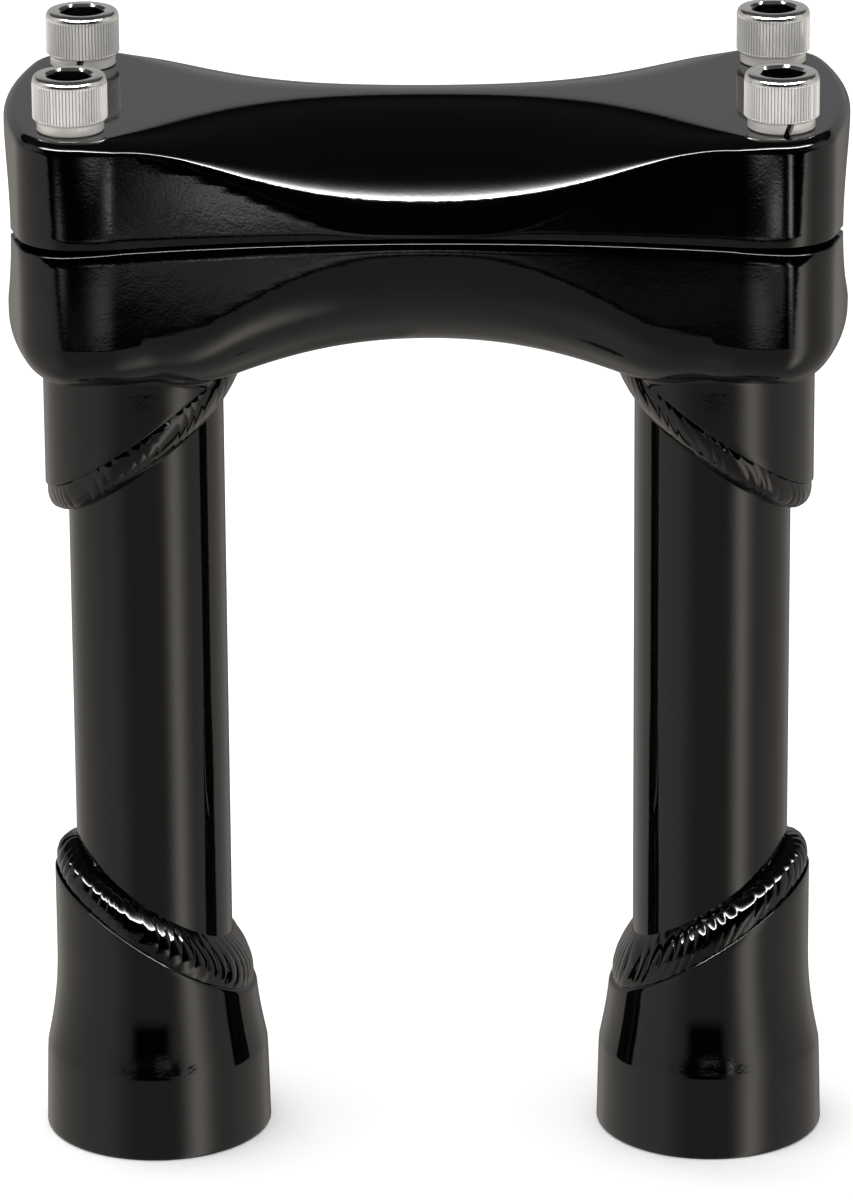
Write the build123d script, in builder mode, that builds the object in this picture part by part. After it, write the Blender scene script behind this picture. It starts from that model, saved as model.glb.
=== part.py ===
from build123d import *
import os
from math import atan2, cos, degrees, radians, sqrt

os.makedirs("parts", exist_ok=True)

# A handlebar riser: two welded uprights carry a split clamp for the bar.
# Millimetres, +Z up, -Y is the front, X runs along the bar.
# The origin is on the ground, midway between the two feet.

# Driving sizes of the whole riser
upright_spacing = 88.9
bar_height = 154.7
bar_radius = 12.7
fit_gap = 0.05

# Uprights
tube_radius = 12.3
tube_wall = 3.2
neck_radius = 15.875

# Feet
foot_base_radius = 18.1
foot_shoulder_radius = 17.75
foot_shoulder_height = 14.0
foot_flare_top = 29.6
foot_shoulder_blend = 12.0
foot_edge_round = 0.5
foot_mitre_height = 34.3
foot_mitre_angle = 33.0
mount_thread_radius = 5.36
mount_thread_depth = 20.0
mount_thread_chamfer = 0.9
foot_web = 2.5

# Clamp outline, seen from above
clamp_overhang = 20.8
clamp_end_radius = 75.0
clamp_corner_radius = 9.0
block_length = 13.26
barrel_side_wall = 9.05
block_side_wall = 14.45
waist_ease_radius = 25.0

# Clamp section, seen along the bar
top_wall = 4.3
bottom_wall = 10.7
barrel_crown = 0.5
arch_rise = 2.15
arch_radius = 138.0
arch_ease = 14.0
arch_overlap = 0.425
top_edge_round = 1.8
bottom_edge_round = 7.5
barrel_flat = 0.1
barrel_drop_share = 0.48
barrel_rise_share = 0.5
barrel_lead = 4.0
barrel_stations = 13
core_fade = (2.5, 2)
run_fade = (4, 1.5)
run_fade_share = 0.98
drop_fade = (2, 2)
drop_fade_share = 0.96

# Split between the clamp halves
half_gap = 0.25
relief_offset = 1.55
relief_ramp = 13.0
relief_depth = 0.65
mouth_round = 2.3

# Stubs under the lower clamp
stub_length = 10.6
stub_mitre_angle = 36.0
stub_root_round = 1.4
socket_depth = 2.4

# Weld beads
weld_inset = 0.3
weld_leg = 6.0
weld_mid_share = 0.43
weld_mid_radius = 14.7
weld_toe = 0.25

# Clamp screws and lock washers
screw_offset = 9.55
screw_bar_gap = 1.83
shank_radius = 3.97
shank_length = 38.1
shank_chamfer = 0.7
head_radius = 5.955
head_height = 7.94
head_top_chamfer = 0.7
hex_width = 6.35
hex_depth = 4.0
washer_radius = 5.3
washer_thickness = 2.2
washer_seat_gap = 0.02
washer_gap = 1.1
washer_gap_angle = 20.0
washer_bore_gap = 0.13
clearance_gap = 0.33
thread_gap = 0.08
tap_spare = 1.8

# Worked out from the sizes above
upright_x = upright_spacing / 2
clamp_half_length = upright_x + clamp_overhang
clamp_top = bar_height + bar_radius + top_wall
clamp_bottom = bar_height - bar_radius - bottom_wall
arch_height = clamp_bottom + arch_rise
barrel_half_width = bar_radius + barrel_side_wall
block_half_width = bar_radius + block_side_wall
block_start = clamp_half_length - block_length
barrel_end = block_start - barrel_lead
waist_depth = block_half_width - barrel_half_width
waist_radius = (block_start**2 + waist_depth**2) / (2 * waist_depth) - waist_ease_radius
waist_end = block_start * waist_radius / (waist_radius + waist_ease_radius)
barrel_shoulder = barrel_half_width - barrel_flat
barrel_height = clamp_top + barrel_crown - arch_height
upper_face = bar_height + half_gap
lower_face = bar_height - half_gap
relief_start = upright_x + relief_offset
stub_mitre_height = clamp_bottom - stub_length
screw_x = upright_x + screw_offset
screw_y = bar_radius + screw_bar_gap + shank_radius
washer_seat = clamp_top + washer_seat_gap
head_seat = washer_seat + washer_thickness
screw_tip = head_seat - shank_length
tap_bottom = screw_tip - tap_spare
socket_radius = tube_radius + fit_gap
tube_bottom = mount_thread_depth + foot_web
tube_top = clamp_bottom - socket_depth
reach = 4 * clamp_half_length
quarter_turn = 90
round_shares = (1.0, 0.97, 0.93, 0.85, 0.75, 0.6, 0.45)

SIDES = {"left": -1, "right": 1}
ENDS = {"front": -1, "rear": 1}


def ease(value):
    """Runs smoothly from 0 to 1 while the value runs from 0 to 1."""
    t = min(max(value, 0.0), 1.0)
    return t * t * (3 - 2 * t)


def half_width(x):
    """Half the clamp's width at a place along the bar: a waist that eases into the blocks."""
    a = abs(x)
    if a <= waist_end:
        return barrel_half_width + waist_radius - sqrt(waist_radius**2 - a**2)
    if a < block_start:
        return block_half_width - waist_ease_radius + sqrt(waist_ease_radius**2 - (block_start - a) ** 2)
    return block_half_width


def fade(x, end, shape):
    """Falls from 1 at the clamp's middle to 0 at an end: the shape holds its flatness and softness."""
    flatness, softness = shape
    part = min(abs(x) / end, 1.0)
    return (1 - part**flatness) ** softness


def underside(x):
    """Height of the clamp's underside: an arch that runs down to the stubs, then flat."""
    arch = arch_height - x * x / (2 * arch_radius)
    arch_end = upright_x - neck_radius + arch_overlap
    share = ease((abs(x) - arch_end) / arch_ease)
    return arch + (clamp_bottom - arch) * share


def between(small, large, share):
    """A size between two others, by a share from 0 to 1."""
    return small + (large - small) * share


def foot_mitre(side, offset):
    """Plane of the mitre on a foot, moved along its normal: it rises to the outside."""
    tilt = -side * foot_mitre_angle
    origin = (side * upright_x, 0, foot_mitre_height)
    return Plane(origin=origin).rotated((0, tilt, 0)).offset(offset)


def stub_mitre(side, offset):
    """Plane of the mitre on a stub, moved along its normal: it rises to the inside."""
    tilt = side * stub_mitre_angle
    origin = (side * upright_x, 0, stub_mitre_height)
    return Plane(origin=origin).rotated((0, tilt, 0)).offset(offset)


def make_barrel():
    """The waisted middle of the clamp, round at the centre and boxed where it meets the blocks."""
    steps = [(place + 1) * block_start / barrel_stations for place in range(barrel_stations)]
    stations = [-x for x in reversed(steps)] + [0.0] + steps
    with BuildPart() as barrel:
        for x in stations:
            width = half_width(x)
            core = fade(x, barrel_end, core_fade)
            top = clamp_top + barrel_crown * core
            bottom = underside(x)
            run_share = fade(x, run_fade_share * block_start, run_fade)
            run = between(top_edge_round, barrel_shoulder, run_share)
            drop_share = fade(x, drop_fade_share * barrel_end, drop_fade)
            drop = between(top_edge_round, barrel_drop_share * barrel_height, drop_share)
            under_run = between(bottom_edge_round, barrel_shoulder, core)
            rise = between(bottom_edge_round, barrel_rise_share * barrel_height, core)
            with BuildSketch(Plane(origin=(x, 0, 0), x_dir=(0, 1, 0), z_dir=(1, 0, 0))):
                with BuildLine():
                    Line((-width + run, top), (width - run, top))
                    EllipticalCenterArc((width - run, top - drop), run, drop, 0, arc_size=quarter_turn)
                    Line((width, top - drop), (width, bottom + rise))
                    low_right = (width - under_run, bottom + rise)
                    EllipticalCenterArc(low_right, under_run, rise, 3 * quarter_turn, arc_size=quarter_turn)
                    Line((width - under_run, bottom), (-width + under_run, bottom))
                    low_left = (-width + under_run, bottom + rise)
                    EllipticalCenterArc(low_left, under_run, rise, 2 * quarter_turn, arc_size=quarter_turn)
                    Line((-width, bottom + rise), (-width, top - drop))
                    top_left = (-width + run, top - drop)
                    EllipticalCenterArc(top_left, run, drop, quarter_turn, arc_size=quarter_turn)
                make_face()
        loft()
    return barrel.part


def round_off(edges, radius):
    """Rounds edges by a radius, or by the largest share of it that the shape has room for."""
    for share in round_shares:
        try:
            return fillet(edges, share * radius)
        except ValueError:
            continue
    raise ValueError(f"no room to round edges by {radius} mm")


def on_bore(edge):
    """Whether an edge lies on the wall of the bar bore, out at an end of the clamp."""
    if abs(edge.center().X) < block_start + mouth_round or edge.geom_type == GeomType.LINE:
        return False
    return all(
        abs(sqrt(point.Y**2 + (point.Z - bar_height) ** 2) - bar_radius) < fit_gap
        for point in edge.positions([0.1, 0.5, 0.9])
    )


def make_block(face, keep):
    """The right end of one half: rounded corners, a bowed end wall and a rounded bore mouth."""
    end_centre = clamp_half_length - clamp_end_radius
    corner_y = block_half_width - clamp_corner_radius
    corner_x = end_centre + sqrt((clamp_end_radius - clamp_corner_radius) ** 2 - corner_y**2)
    turn = degrees(atan2(corner_y, corner_x - end_centre))
    with BuildPart() as block:
        with BuildSketch(Plane.XY.offset(clamp_bottom)):
            with BuildLine():
                Line((block_start, -block_half_width), (corner_x, -block_half_width))
                CenterArc((corner_x, -corner_y), clamp_corner_radius, -90, 90 - turn)
                CenterArc((end_centre, 0), clamp_end_radius, -turn, 2 * turn)
                CenterArc((corner_x, corner_y), clamp_corner_radius, turn, 90 - turn)
                Line((corner_x, block_half_width), (block_start, block_half_width))
                Line((block_start, block_half_width), (block_start, -block_half_width))
            make_face()
        extrude(amount=clamp_top - clamp_bottom)
        inner = block_start + fit_gap
        top_rim = block.edges().group_by(Axis.Z)[-1].filter_by(lambda edge: edge.center().X > inner)
        round_off(top_rim, top_edge_round)
        bottom_rim = block.edges().group_by(Axis.Z)[0].filter_by(lambda edge: edge.center().X > inner)
        round_off(bottom_rim, bottom_edge_round)
        with Locations((0, 0, bar_height)):
            Cylinder(bar_radius, reach, rotation=(0, 90, 0), mode=Mode.SUBTRACT)
        split(bisect_by=Plane.XY.offset(face), keep=keep)
        round_off(block.edges().filter_by(on_bore), mouth_round)
    return block.part


def make_half(face, keep):
    """One half of the clamp: barrel and blocks, bored for the bar and cut at the split face."""
    with BuildPart() as half:
        add(make_barrel())
        with Locations((0, 0, bar_height)):
            Cylinder(bar_radius, reach, rotation=(0, 90, 0), mode=Mode.SUBTRACT)
        split(bisect_by=Plane.XY.offset(face), keep=keep)
        block = make_block(face, keep)
        add(block)
        add(block.mirror(Plane.YZ))
    return half.part


def make_upper_clamp():
    """The clamp's cap, with a clearance hole for each screw."""
    with BuildPart() as cap:
        add(make_half(upper_face, Keep.TOP))
        with BuildSketch(Plane.XY.offset(upper_face)):
            with GridLocations(2 * screw_x, 2 * screw_y, 2, 2):
                Circle(shank_radius + clearance_gap)
        extrude(amount=clamp_top - upper_face + washer_thickness, mode=Mode.SUBTRACT)
    return cap.part


def on_root(edge):
    """Whether an edge lies where a stub meets the underside of the clamp."""
    if abs(edge.center().Z - clamp_bottom) > arch_ease:
        return False
    return all(
        abs(sqrt((abs(point.X) - upright_x) ** 2 + point.Y**2) - neck_radius) < fit_gap
        for point in edge.positions([0.1, 0.5, 0.9])
    )


def make_mitre_waste(side, clamp):
    """The space under a stub's mitre, without the part of it that the clamp itself fills."""
    stub_root = neck_radius + 2 * stub_root_round
    with BuildPart() as waste:
        with BuildSketch(Plane.XY.offset(stub_mitre_height - 2 * neck_radius)):
            with Locations((side * upright_x, 0)):
                Circle(stub_root)
        extrude(amount=3 * neck_radius)
        split(bisect_by=stub_mitre(side, 0), keep=Keep.BOTTOM)
        add(clamp, mode=Mode.SUBTRACT)
    return waste.part


def make_lower_clamp():
    """The clamp's body with its two stubs, the tapped holes and the sockets for the tubes."""
    plain = make_half(lower_face, Keep.BOTTOM)
    stub_top = clamp_bottom + bottom_edge_round
    stub_reach = stub_top - stub_mitre_height + neck_radius
    with BuildPart() as body:
        add(plain)
        with Locations((-upright_x, 0, stub_top), (upright_x, 0, stub_top)):
            Cylinder(neck_radius, stub_reach, align=(Align.CENTER, Align.CENTER, Align.MAX))
        round_off(body.edges().filter_by(on_root), stub_root_round)
        for side in SIDES.values():
            add(make_mitre_waste(side, plain), mode=Mode.SUBTRACT)
        with Locations((-upright_x, 0, tube_top), (upright_x, 0, tube_top)):
            Cylinder(
                socket_radius,
                stub_reach,
                align=(Align.CENTER, Align.CENTER, Align.MAX),
                mode=Mode.SUBTRACT,
            )
        with BuildSketch(Plane.XY.offset(tap_bottom)):
            with GridLocations(2 * screw_x, 2 * screw_y, 2, 2):
                Circle(shank_radius + thread_gap)
        extrude(amount=lower_face - tap_bottom, mode=Mode.SUBTRACT)
        for side in SIDES.values():
            with BuildSketch(Plane.XZ.offset(-reach)):
                with BuildLine():
                    Polyline(
                        (side * relief_start, lower_face),
                        (side * (relief_start + relief_ramp), lower_face - relief_depth),
                        (side * reach, lower_face - relief_depth),
                        (side * reach, lower_face + relief_depth),
                        (side * relief_start, lower_face + relief_depth),
                        close=True,
                    )
                make_face()
            extrude(amount=2 * reach, mode=Mode.SUBTRACT)
    return body.part


def make_tube(side):
    """A plain round tube from the floor of the foot's socket to the top of the stub's."""
    with BuildPart() as tube:
        with BuildSketch(Plane.XY.offset(tube_bottom)):
            with Locations((side * upright_x, 0)):
                Circle(tube_radius)
                Circle(tube_radius - tube_wall, mode=Mode.SUBTRACT)
        extrude(amount=tube_top - tube_bottom)
    return tube.part


def make_foot(side):
    """A turned foot, flared at the ground, threaded from below and mitred for the weld."""
    foot_top = foot_mitre_height + neck_radius
    with BuildPart() as foot:
        with BuildSketch(Plane.XZ) as profile:
            with BuildLine():
                Line((0, 0), (foot_base_radius, 0))
                Line((foot_base_radius, 0), (foot_shoulder_radius, foot_shoulder_height))
                flare = TangentArc(
                    (neck_radius, foot_flare_top), (foot_shoulder_radius, foot_shoulder_height), tangent=(0, -1)
                )
                Line((neck_radius, foot_flare_top), (neck_radius, foot_top))
                Line((neck_radius, foot_top), (0, foot_top))
                Line((0, foot_top), (0, 0))
            make_face()
            shoulder = profile.vertices().sort_by_distance((foot_shoulder_radius, foot_shoulder_height))[0]
            fillet(shoulder, foot_shoulder_blend)
            rim = profile.vertices().sort_by_distance((foot_base_radius, 0))[0]
            fillet(rim, foot_edge_round)
        revolve(axis=Axis.Z)
        with BuildSketch(Plane.XY):
            Circle(mount_thread_radius)
        extrude(amount=mount_thread_depth, mode=Mode.SUBTRACT)
        mouth = foot.edges().filter_by(GeomType.CIRCLE).sort_by_distance((mount_thread_radius, 0, 0))[0]
        chamfer(mouth, mount_thread_chamfer)
        with BuildSketch(Plane.XY.offset(tube_bottom)):
            Circle(socket_radius)
        extrude(amount=foot_top, mode=Mode.SUBTRACT)
    placed = foot.part.moved(Location((side * upright_x, 0, 0)))
    with BuildPart() as mitred:
        add(placed)
        split(bisect_by=foot_mitre(side, 0), keep=Keep.BOTTOM)
    return mitred.part


def mitre_ring(side, mitre, offset):
    """A plane parallel to a mitre, with its origin back on the axis of the upright."""
    plane = mitre(side, offset)
    rise = mitre(side, 0).origin.Z + offset / plane.z_dir.Z
    return Plane(origin=(side * upright_x, 0, rise), x_dir=plane.x_dir, z_dir=plane.z_dir)


def make_weld(side, mitre, slope_angle, direction, clamp):
    """A fillet weld round a tube, standing on a mitre and stopped where it meets the clamp."""
    stretch = 1 / cos(radians(slope_angle))
    rings = (
        (0, neck_radius - weld_inset),
        (weld_mid_share * weld_leg, weld_mid_radius),
        (weld_leg, socket_radius + weld_toe),
    )
    with BuildPart() as weld:
        for height, radius in rings:
            with BuildSketch(mitre_ring(side, mitre, direction * height)):
                Ellipse(radius * stretch, radius)
        loft()
        with Locations((side * upright_x, 0, 0)):
            Cylinder(socket_radius, reach, mode=Mode.SUBTRACT)
        add(clamp, mode=Mode.SUBTRACT)
    return weld.part


def make_screw(x, y):
    """A socket cap screw with its shank down: plain where the real one is threaded."""
    with BuildPart() as screw:
        with Locations((x, y, head_seat)):
            Cylinder(head_radius, head_height, align=(Align.CENTER, Align.CENTER, Align.MIN))
        top_rim = screw.edges().group_by(Axis.Z)[-1]
        chamfer(top_rim, head_top_chamfer)
        with Locations((x, y, head_seat)):
            Cylinder(shank_radius, shank_length, align=(Align.CENTER, Align.CENTER, Align.MAX))
        tip = screw.edges().group_by(Axis.Z)[0]
        chamfer(tip, shank_chamfer)
        with BuildSketch(Plane.XY.offset(head_seat + head_height)):
            with Locations((x, y)):
                RegularPolygon(hex_width / 2, 6, major_radius=False)
        extrude(amount=-hex_depth, mode=Mode.SUBTRACT)
    return screw.part


def make_washer(x, y):
    """A split lock washer, cut through at a slant."""
    with BuildPart() as washer:
        with BuildSketch(Plane.XY.offset(washer_seat)):
            with Locations((x, y)):
                Circle(washer_radius)
                Circle(shank_radius + washer_bore_gap, mode=Mode.SUBTRACT)
        extrude(amount=washer_thickness)
        with Locations((x, y - washer_radius, washer_seat + washer_thickness / 2)):
            Box(
                washer_gap,
                washer_radius,
                3 * washer_thickness,
                rotation=(0, washer_gap_angle, 0),
                mode=Mode.SUBTRACT,
            )
    return washer.part


def save(part, name):
    """Labels a piece and writes it to its own file."""
    part.label = name
    export_step(part, f"parts/{name}.step")


lower_clamp = make_lower_clamp()
save(lower_clamp, "lower_clamp")
save(make_upper_clamp(), "upper_clamp")
for side_name, side in SIDES.items():
    save(make_tube(side), f"{side_name}_tube")
    save(make_foot(side), f"{side_name}_foot")
    save(make_weld(side, foot_mitre, foot_mitre_angle, 1, lower_clamp), f"lower_{side_name}_weld")
    save(make_weld(side, stub_mitre, stub_mitre_angle, -1, lower_clamp), f"upper_{side_name}_weld")
    for end_name, end in ENDS.items():
        save(make_screw(side * screw_x, end * screw_y), f"{end_name}_{side_name}_screw")
        save(make_washer(side * screw_x, end * screw_y), f"{end_name}_{side_name}_washer")
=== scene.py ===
"""A gloss black handlebar riser: a split bar clamp on two welded uprights.

Stainless capscrews on lock washers hold the clamp's two halves.
"""

import logging
import math
from dataclasses import dataclass, field
from enum import Enum

import bmesh
import bpy
import numpy as np
from mathutils import Matrix, Vector
from mathutils.geometry import delaunay_2d_cdt

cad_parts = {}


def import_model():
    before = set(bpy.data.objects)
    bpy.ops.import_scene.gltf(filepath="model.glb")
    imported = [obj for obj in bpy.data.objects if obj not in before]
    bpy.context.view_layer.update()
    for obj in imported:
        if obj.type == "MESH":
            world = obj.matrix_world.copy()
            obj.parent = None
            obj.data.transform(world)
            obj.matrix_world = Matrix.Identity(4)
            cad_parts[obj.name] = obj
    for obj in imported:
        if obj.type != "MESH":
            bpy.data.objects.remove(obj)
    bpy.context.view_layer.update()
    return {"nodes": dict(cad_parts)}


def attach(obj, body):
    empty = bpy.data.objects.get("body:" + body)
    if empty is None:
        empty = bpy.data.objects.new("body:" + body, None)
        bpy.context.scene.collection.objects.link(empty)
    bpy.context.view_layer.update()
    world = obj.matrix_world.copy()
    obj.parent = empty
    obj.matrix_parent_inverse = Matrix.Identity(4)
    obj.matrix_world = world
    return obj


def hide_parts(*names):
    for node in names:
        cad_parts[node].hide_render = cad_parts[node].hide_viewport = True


LOG = logging.getLogger("riser")
MM = 0.001
DEGREE = 180 / math.pi
MERGE_GAP = 1e-7
SLIVER = 1e-8
NEARLY = 1e-6


class Side(Enum):
    """The riser's two sides, with the sign of X."""

    LEFT = -1
    RIGHT = 1


class End(Enum):
    """The clamp's two long edges, with the sign of Y."""

    FRONT = -1
    REAR = 1


class HalfKind(Enum):
    """The two halves of the clamp: the way that each one reaches from the split."""

    LOWER = -1
    UPPER = 1


class Cut(Enum):
    """The mitres of an upright: the height at its axis, and the rise outwards in degrees."""

    STUB = (120.7, -36.0)
    FOOT = (34.3, 33.0)


# Helpers for numbers and meshes


def ease(value: np.ndarray) -> np.ndarray:
    """Runs smoothly from 0 to 1 while the value runs from 0 to 1."""
    t = np.clip(value, 0.0, 1.0)
    return t * t * (3 - 2 * t)


def fade(value: np.ndarray, end: float, flatness: float, softness: float) -> np.ndarray:
    """Falls from 1 at the middle to 0 at an end, later and faster with more flatness."""
    part = np.minimum(np.abs(value) / end, 1.0)
    return (1 - part**flatness) ** softness


def quarter(steps: int) -> np.ndarray:
    """Angles of a quarter turn, in radians, with both ends."""
    return np.linspace(0.0, math.pi / 2, steps + 1)


def circle(count: int) -> np.ndarray:
    """Angles of a full turn, in radians, without its end."""
    return np.arange(count) * 2 * math.pi / count


def ring_points(
    centre: tuple[float, float], radius: np.ndarray, angles: np.ndarray, level: np.ndarray
) -> np.ndarray:
    """Gives points round an upright axis.

    Args:
        centre: where the axis stands, in X and Y.
        radius: one radius for all, or one for each angle.
        angles: the angles, in radians.
        level: one height for all, or one for each angle.

    Returns:
        The points, one row for each angle.
    """
    x = centre[0] + radius * np.cos(angles)
    y = centre[1] + radius * np.sin(angles)
    return np.stack(np.broadcast_arrays(x, y, level), -1)


class Skin:
    """Collects the points and faces of one piece, in millimetres, and makes its mesh."""

    def __init__(self) -> None:
        """Starts with no points and no faces."""
        self.points: list[tuple[float, float, float]] = []
        self.faces: list[tuple[int, ...]] = []

    def add(self, points: np.ndarray) -> np.ndarray:
        """Adds points.

        Args:
            points: an array whose last axis holds x, y and z.

        Returns:
            The points' indices, in the same layout.
        """
        flat = np.asarray(points, float).reshape(-1, 3)
        start = len(self.points)
        self.points.extend(map(tuple, flat))
        return np.arange(start, start + len(flat)).reshape(np.asarray(points).shape[:-1])

    def face(self, corners: list[int]) -> None:
        """Adds one face, leaving out corners that come twice in a row.

        Args:
            corners: the points' indices, in order round the face.
        """
        kept = [int(c) for i, c in enumerate(corners) if c != corners[i - 1]]
        if len(kept) > 2:
            self.faces.append(tuple(kept))

    def grid(self, ids: np.ndarray, close_rows: bool = False, close_columns: bool = False) -> None:
        """Joins a grid of points with four-sided faces.

        Args:
            ids: the points' indices in rows and columns.
            close_rows: whether the last row joins the first.
            close_columns: whether the last column joins the first.
        """
        rows = np.vstack([ids, ids[:1]]) if close_rows else ids
        full = np.hstack([rows, rows[:, :1]]) if close_columns else rows
        for low, high in zip(full[:-1], full[1:]):
            for i in range(len(low) - 1):
                self.face([low[i], low[i + 1], high[i + 1], high[i]])

    def cap(self, ring: np.ndarray) -> None:
        """Closes a ring with one flat face."""
        self.face(list(ring))

    def fill(self, loops: list[list[int]]) -> None:
        """Fills the space inside the first loop and outside the others, seen from above.

        Args:
            loops: the outer loop and the holes, as indices of points.
        """
        ids = [int(i) for loop in loops for i in loop]
        flat = [Vector(self.points[i][:2]) for i in ids]
        edges = []
        start = 0
        for loop in loops:
            count = len(loop)
            edges += [(start + i, start + (i + 1) % count) for i in range(count)]
            start += count
        found = delaunay_2d_cdt(flat, edges, [], 0, MERGE_GAP)
        corners = [ids[origin[0]] if origin else -1 for origin in found[3]]
        outlines = [np.array([self.points[i][:2] for i in loop]) for loop in loops]
        for triangle in found[2]:
            names = [corners[i] for i in triangle]
            middle = np.mean([self.points[i][:2] for i in names], axis=0)
            if sum(inside(middle, outline) for outline in outlines) % 2:
                self.faces.append(tuple(names))

    def mesh(self, name: str) -> bpy.types.Mesh:
        """Makes the raw mesh, in metres.

        Args:
            name: the mesh's name.

        Returns:
            The mesh.
        """
        mesh = bpy.data.meshes.new(name)
        mesh.from_pydata([tuple(c * MM for c in p) for p in self.points], [], self.faces)
        return mesh

    def build(
        self, name: str, finish: bpy.types.Material, crease: float = 32.0
    ) -> bpy.types.Object:
        """Makes the piece's object.

        Args:
            name: the object's name.
            finish: its material.
            crease: the angle, in degrees, past which an edge stays sharp.

        Returns:
            The object, with its faces pointing outwards.
        """
        return finish_mesh(self.mesh(name), name, finish, crease)


def inside(point: np.ndarray, outline: np.ndarray) -> bool:
    """Tells whether a point lies inside a closed outline.

    Args:
        point: its X and Y.
        outline: the outline's corners, in rows of X and Y.

    Returns:
        True where it lies inside.
    """
    x, y = point
    x0, y0 = outline[:, 0], outline[:, 1]
    x1, y1 = np.roll(x0, -1), np.roll(y0, -1)
    crosses = (y0 > y) != (y1 > y)
    with np.errstate(divide="ignore", invalid="ignore"):
        at = x0 + (y - y0) * (x1 - x0) / (y1 - y0)
    return bool(np.count_nonzero(crosses & (x < at)) % 2)


def finish_mesh(
    mesh: bpy.types.Mesh, name: str, finish: bpy.types.Material, crease: float
) -> bpy.types.Object:
    """Cleans a mesh, points its faces outwards and gives it a material.

    Args:
        mesh: the raw mesh.
        name: the object's name.
        finish: the material.
        crease: the angle, in degrees, past which an edge stays sharp.

    Returns:
        The new object, linked to the scene.
    """
    work = bmesh.new()
    work.from_mesh(mesh)
    bmesh.ops.remove_doubles(work, verts=work.verts, dist=MERGE_GAP)
    bmesh.ops.dissolve_degenerate(work, edges=work.edges, dist=SLIVER)
    bmesh.ops.recalc_face_normals(work, faces=work.faces)
    work.to_mesh(mesh)
    work.free()
    mesh.shade_smooth()
    mesh.set_sharp_from_angle(angle=math.radians(crease))
    mesh.materials.clear()
    mesh.materials.append(finish)
    piece = bpy.data.objects.new(name, mesh)
    bpy.context.scene.collection.objects.link(piece)
    return piece


def lathe(profile: list[tuple[float, float]], centre: tuple[float, float], turns: int) -> Skin:
    """Turns a closed profile about an upright axis.

    Args:
        profile: radius and height of each point, from the bottom's centre round to the top's.
        centre: where the axis stands, in X and Y.
        turns: how many flats the circle has.

    Returns:
        The skin, closed where the profile meets the axis.
    """
    skin = Skin()
    angles = circle(turns)
    rows = []
    for radius, height in profile:
        if radius < NEARLY:
            rows.append(np.repeat(skin.add(np.array([[*centre, height]])), turns))
        else:
            rows.append(skin.add(ring_points(centre, radius, angles, height)))
    skin.grid(np.array(rows), close_columns=True)
    return skin


# Finishes


class Signal:
    """A number that a node tree works out, with the usual signs of arithmetic."""

    def __init__(self, sheet: "NodeSheet", socket: bpy.types.NodeSocket) -> None:
        """Keeps the sheet, and the socket that gives the number."""
        self.sheet = sheet
        self.socket = socket

    def __add__(self, other: object) -> "Signal":
        """Adds another number."""
        return self.sheet.math("ADD", self, other)

    def __radd__(self, other: object) -> "Signal":
        """Adds itself to another number."""
        return self.sheet.math("ADD", other, self)

    def __sub__(self, other: object) -> "Signal":
        """Takes another number away."""
        return self.sheet.math("SUBTRACT", self, other)

    def __rsub__(self, other: object) -> "Signal":
        """Takes itself away from another number."""
        return self.sheet.math("SUBTRACT", other, self)

    def __mul__(self, other: object) -> "Signal":
        """Multiplies by another number."""
        return self.sheet.math("MULTIPLY", self, other)

    def __rmul__(self, other: object) -> "Signal":
        """Multiplies another number by itself."""
        return self.sheet.math("MULTIPLY", other, self)

    def __truediv__(self, other: object) -> "Signal":
        """Divides by another number."""
        return self.sheet.math("DIVIDE", self, other)

    def __pow__(self, other: float) -> "Signal":
        """Raises to a power."""
        return self.sheet.math("POWER", self, other)

    def __neg__(self) -> "Signal":
        """Changes the sign."""
        return self * -1.0

    def __abs__(self) -> "Signal":
        """Drops the sign."""
        return self.sheet.math("ABSOLUTE", self)


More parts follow.
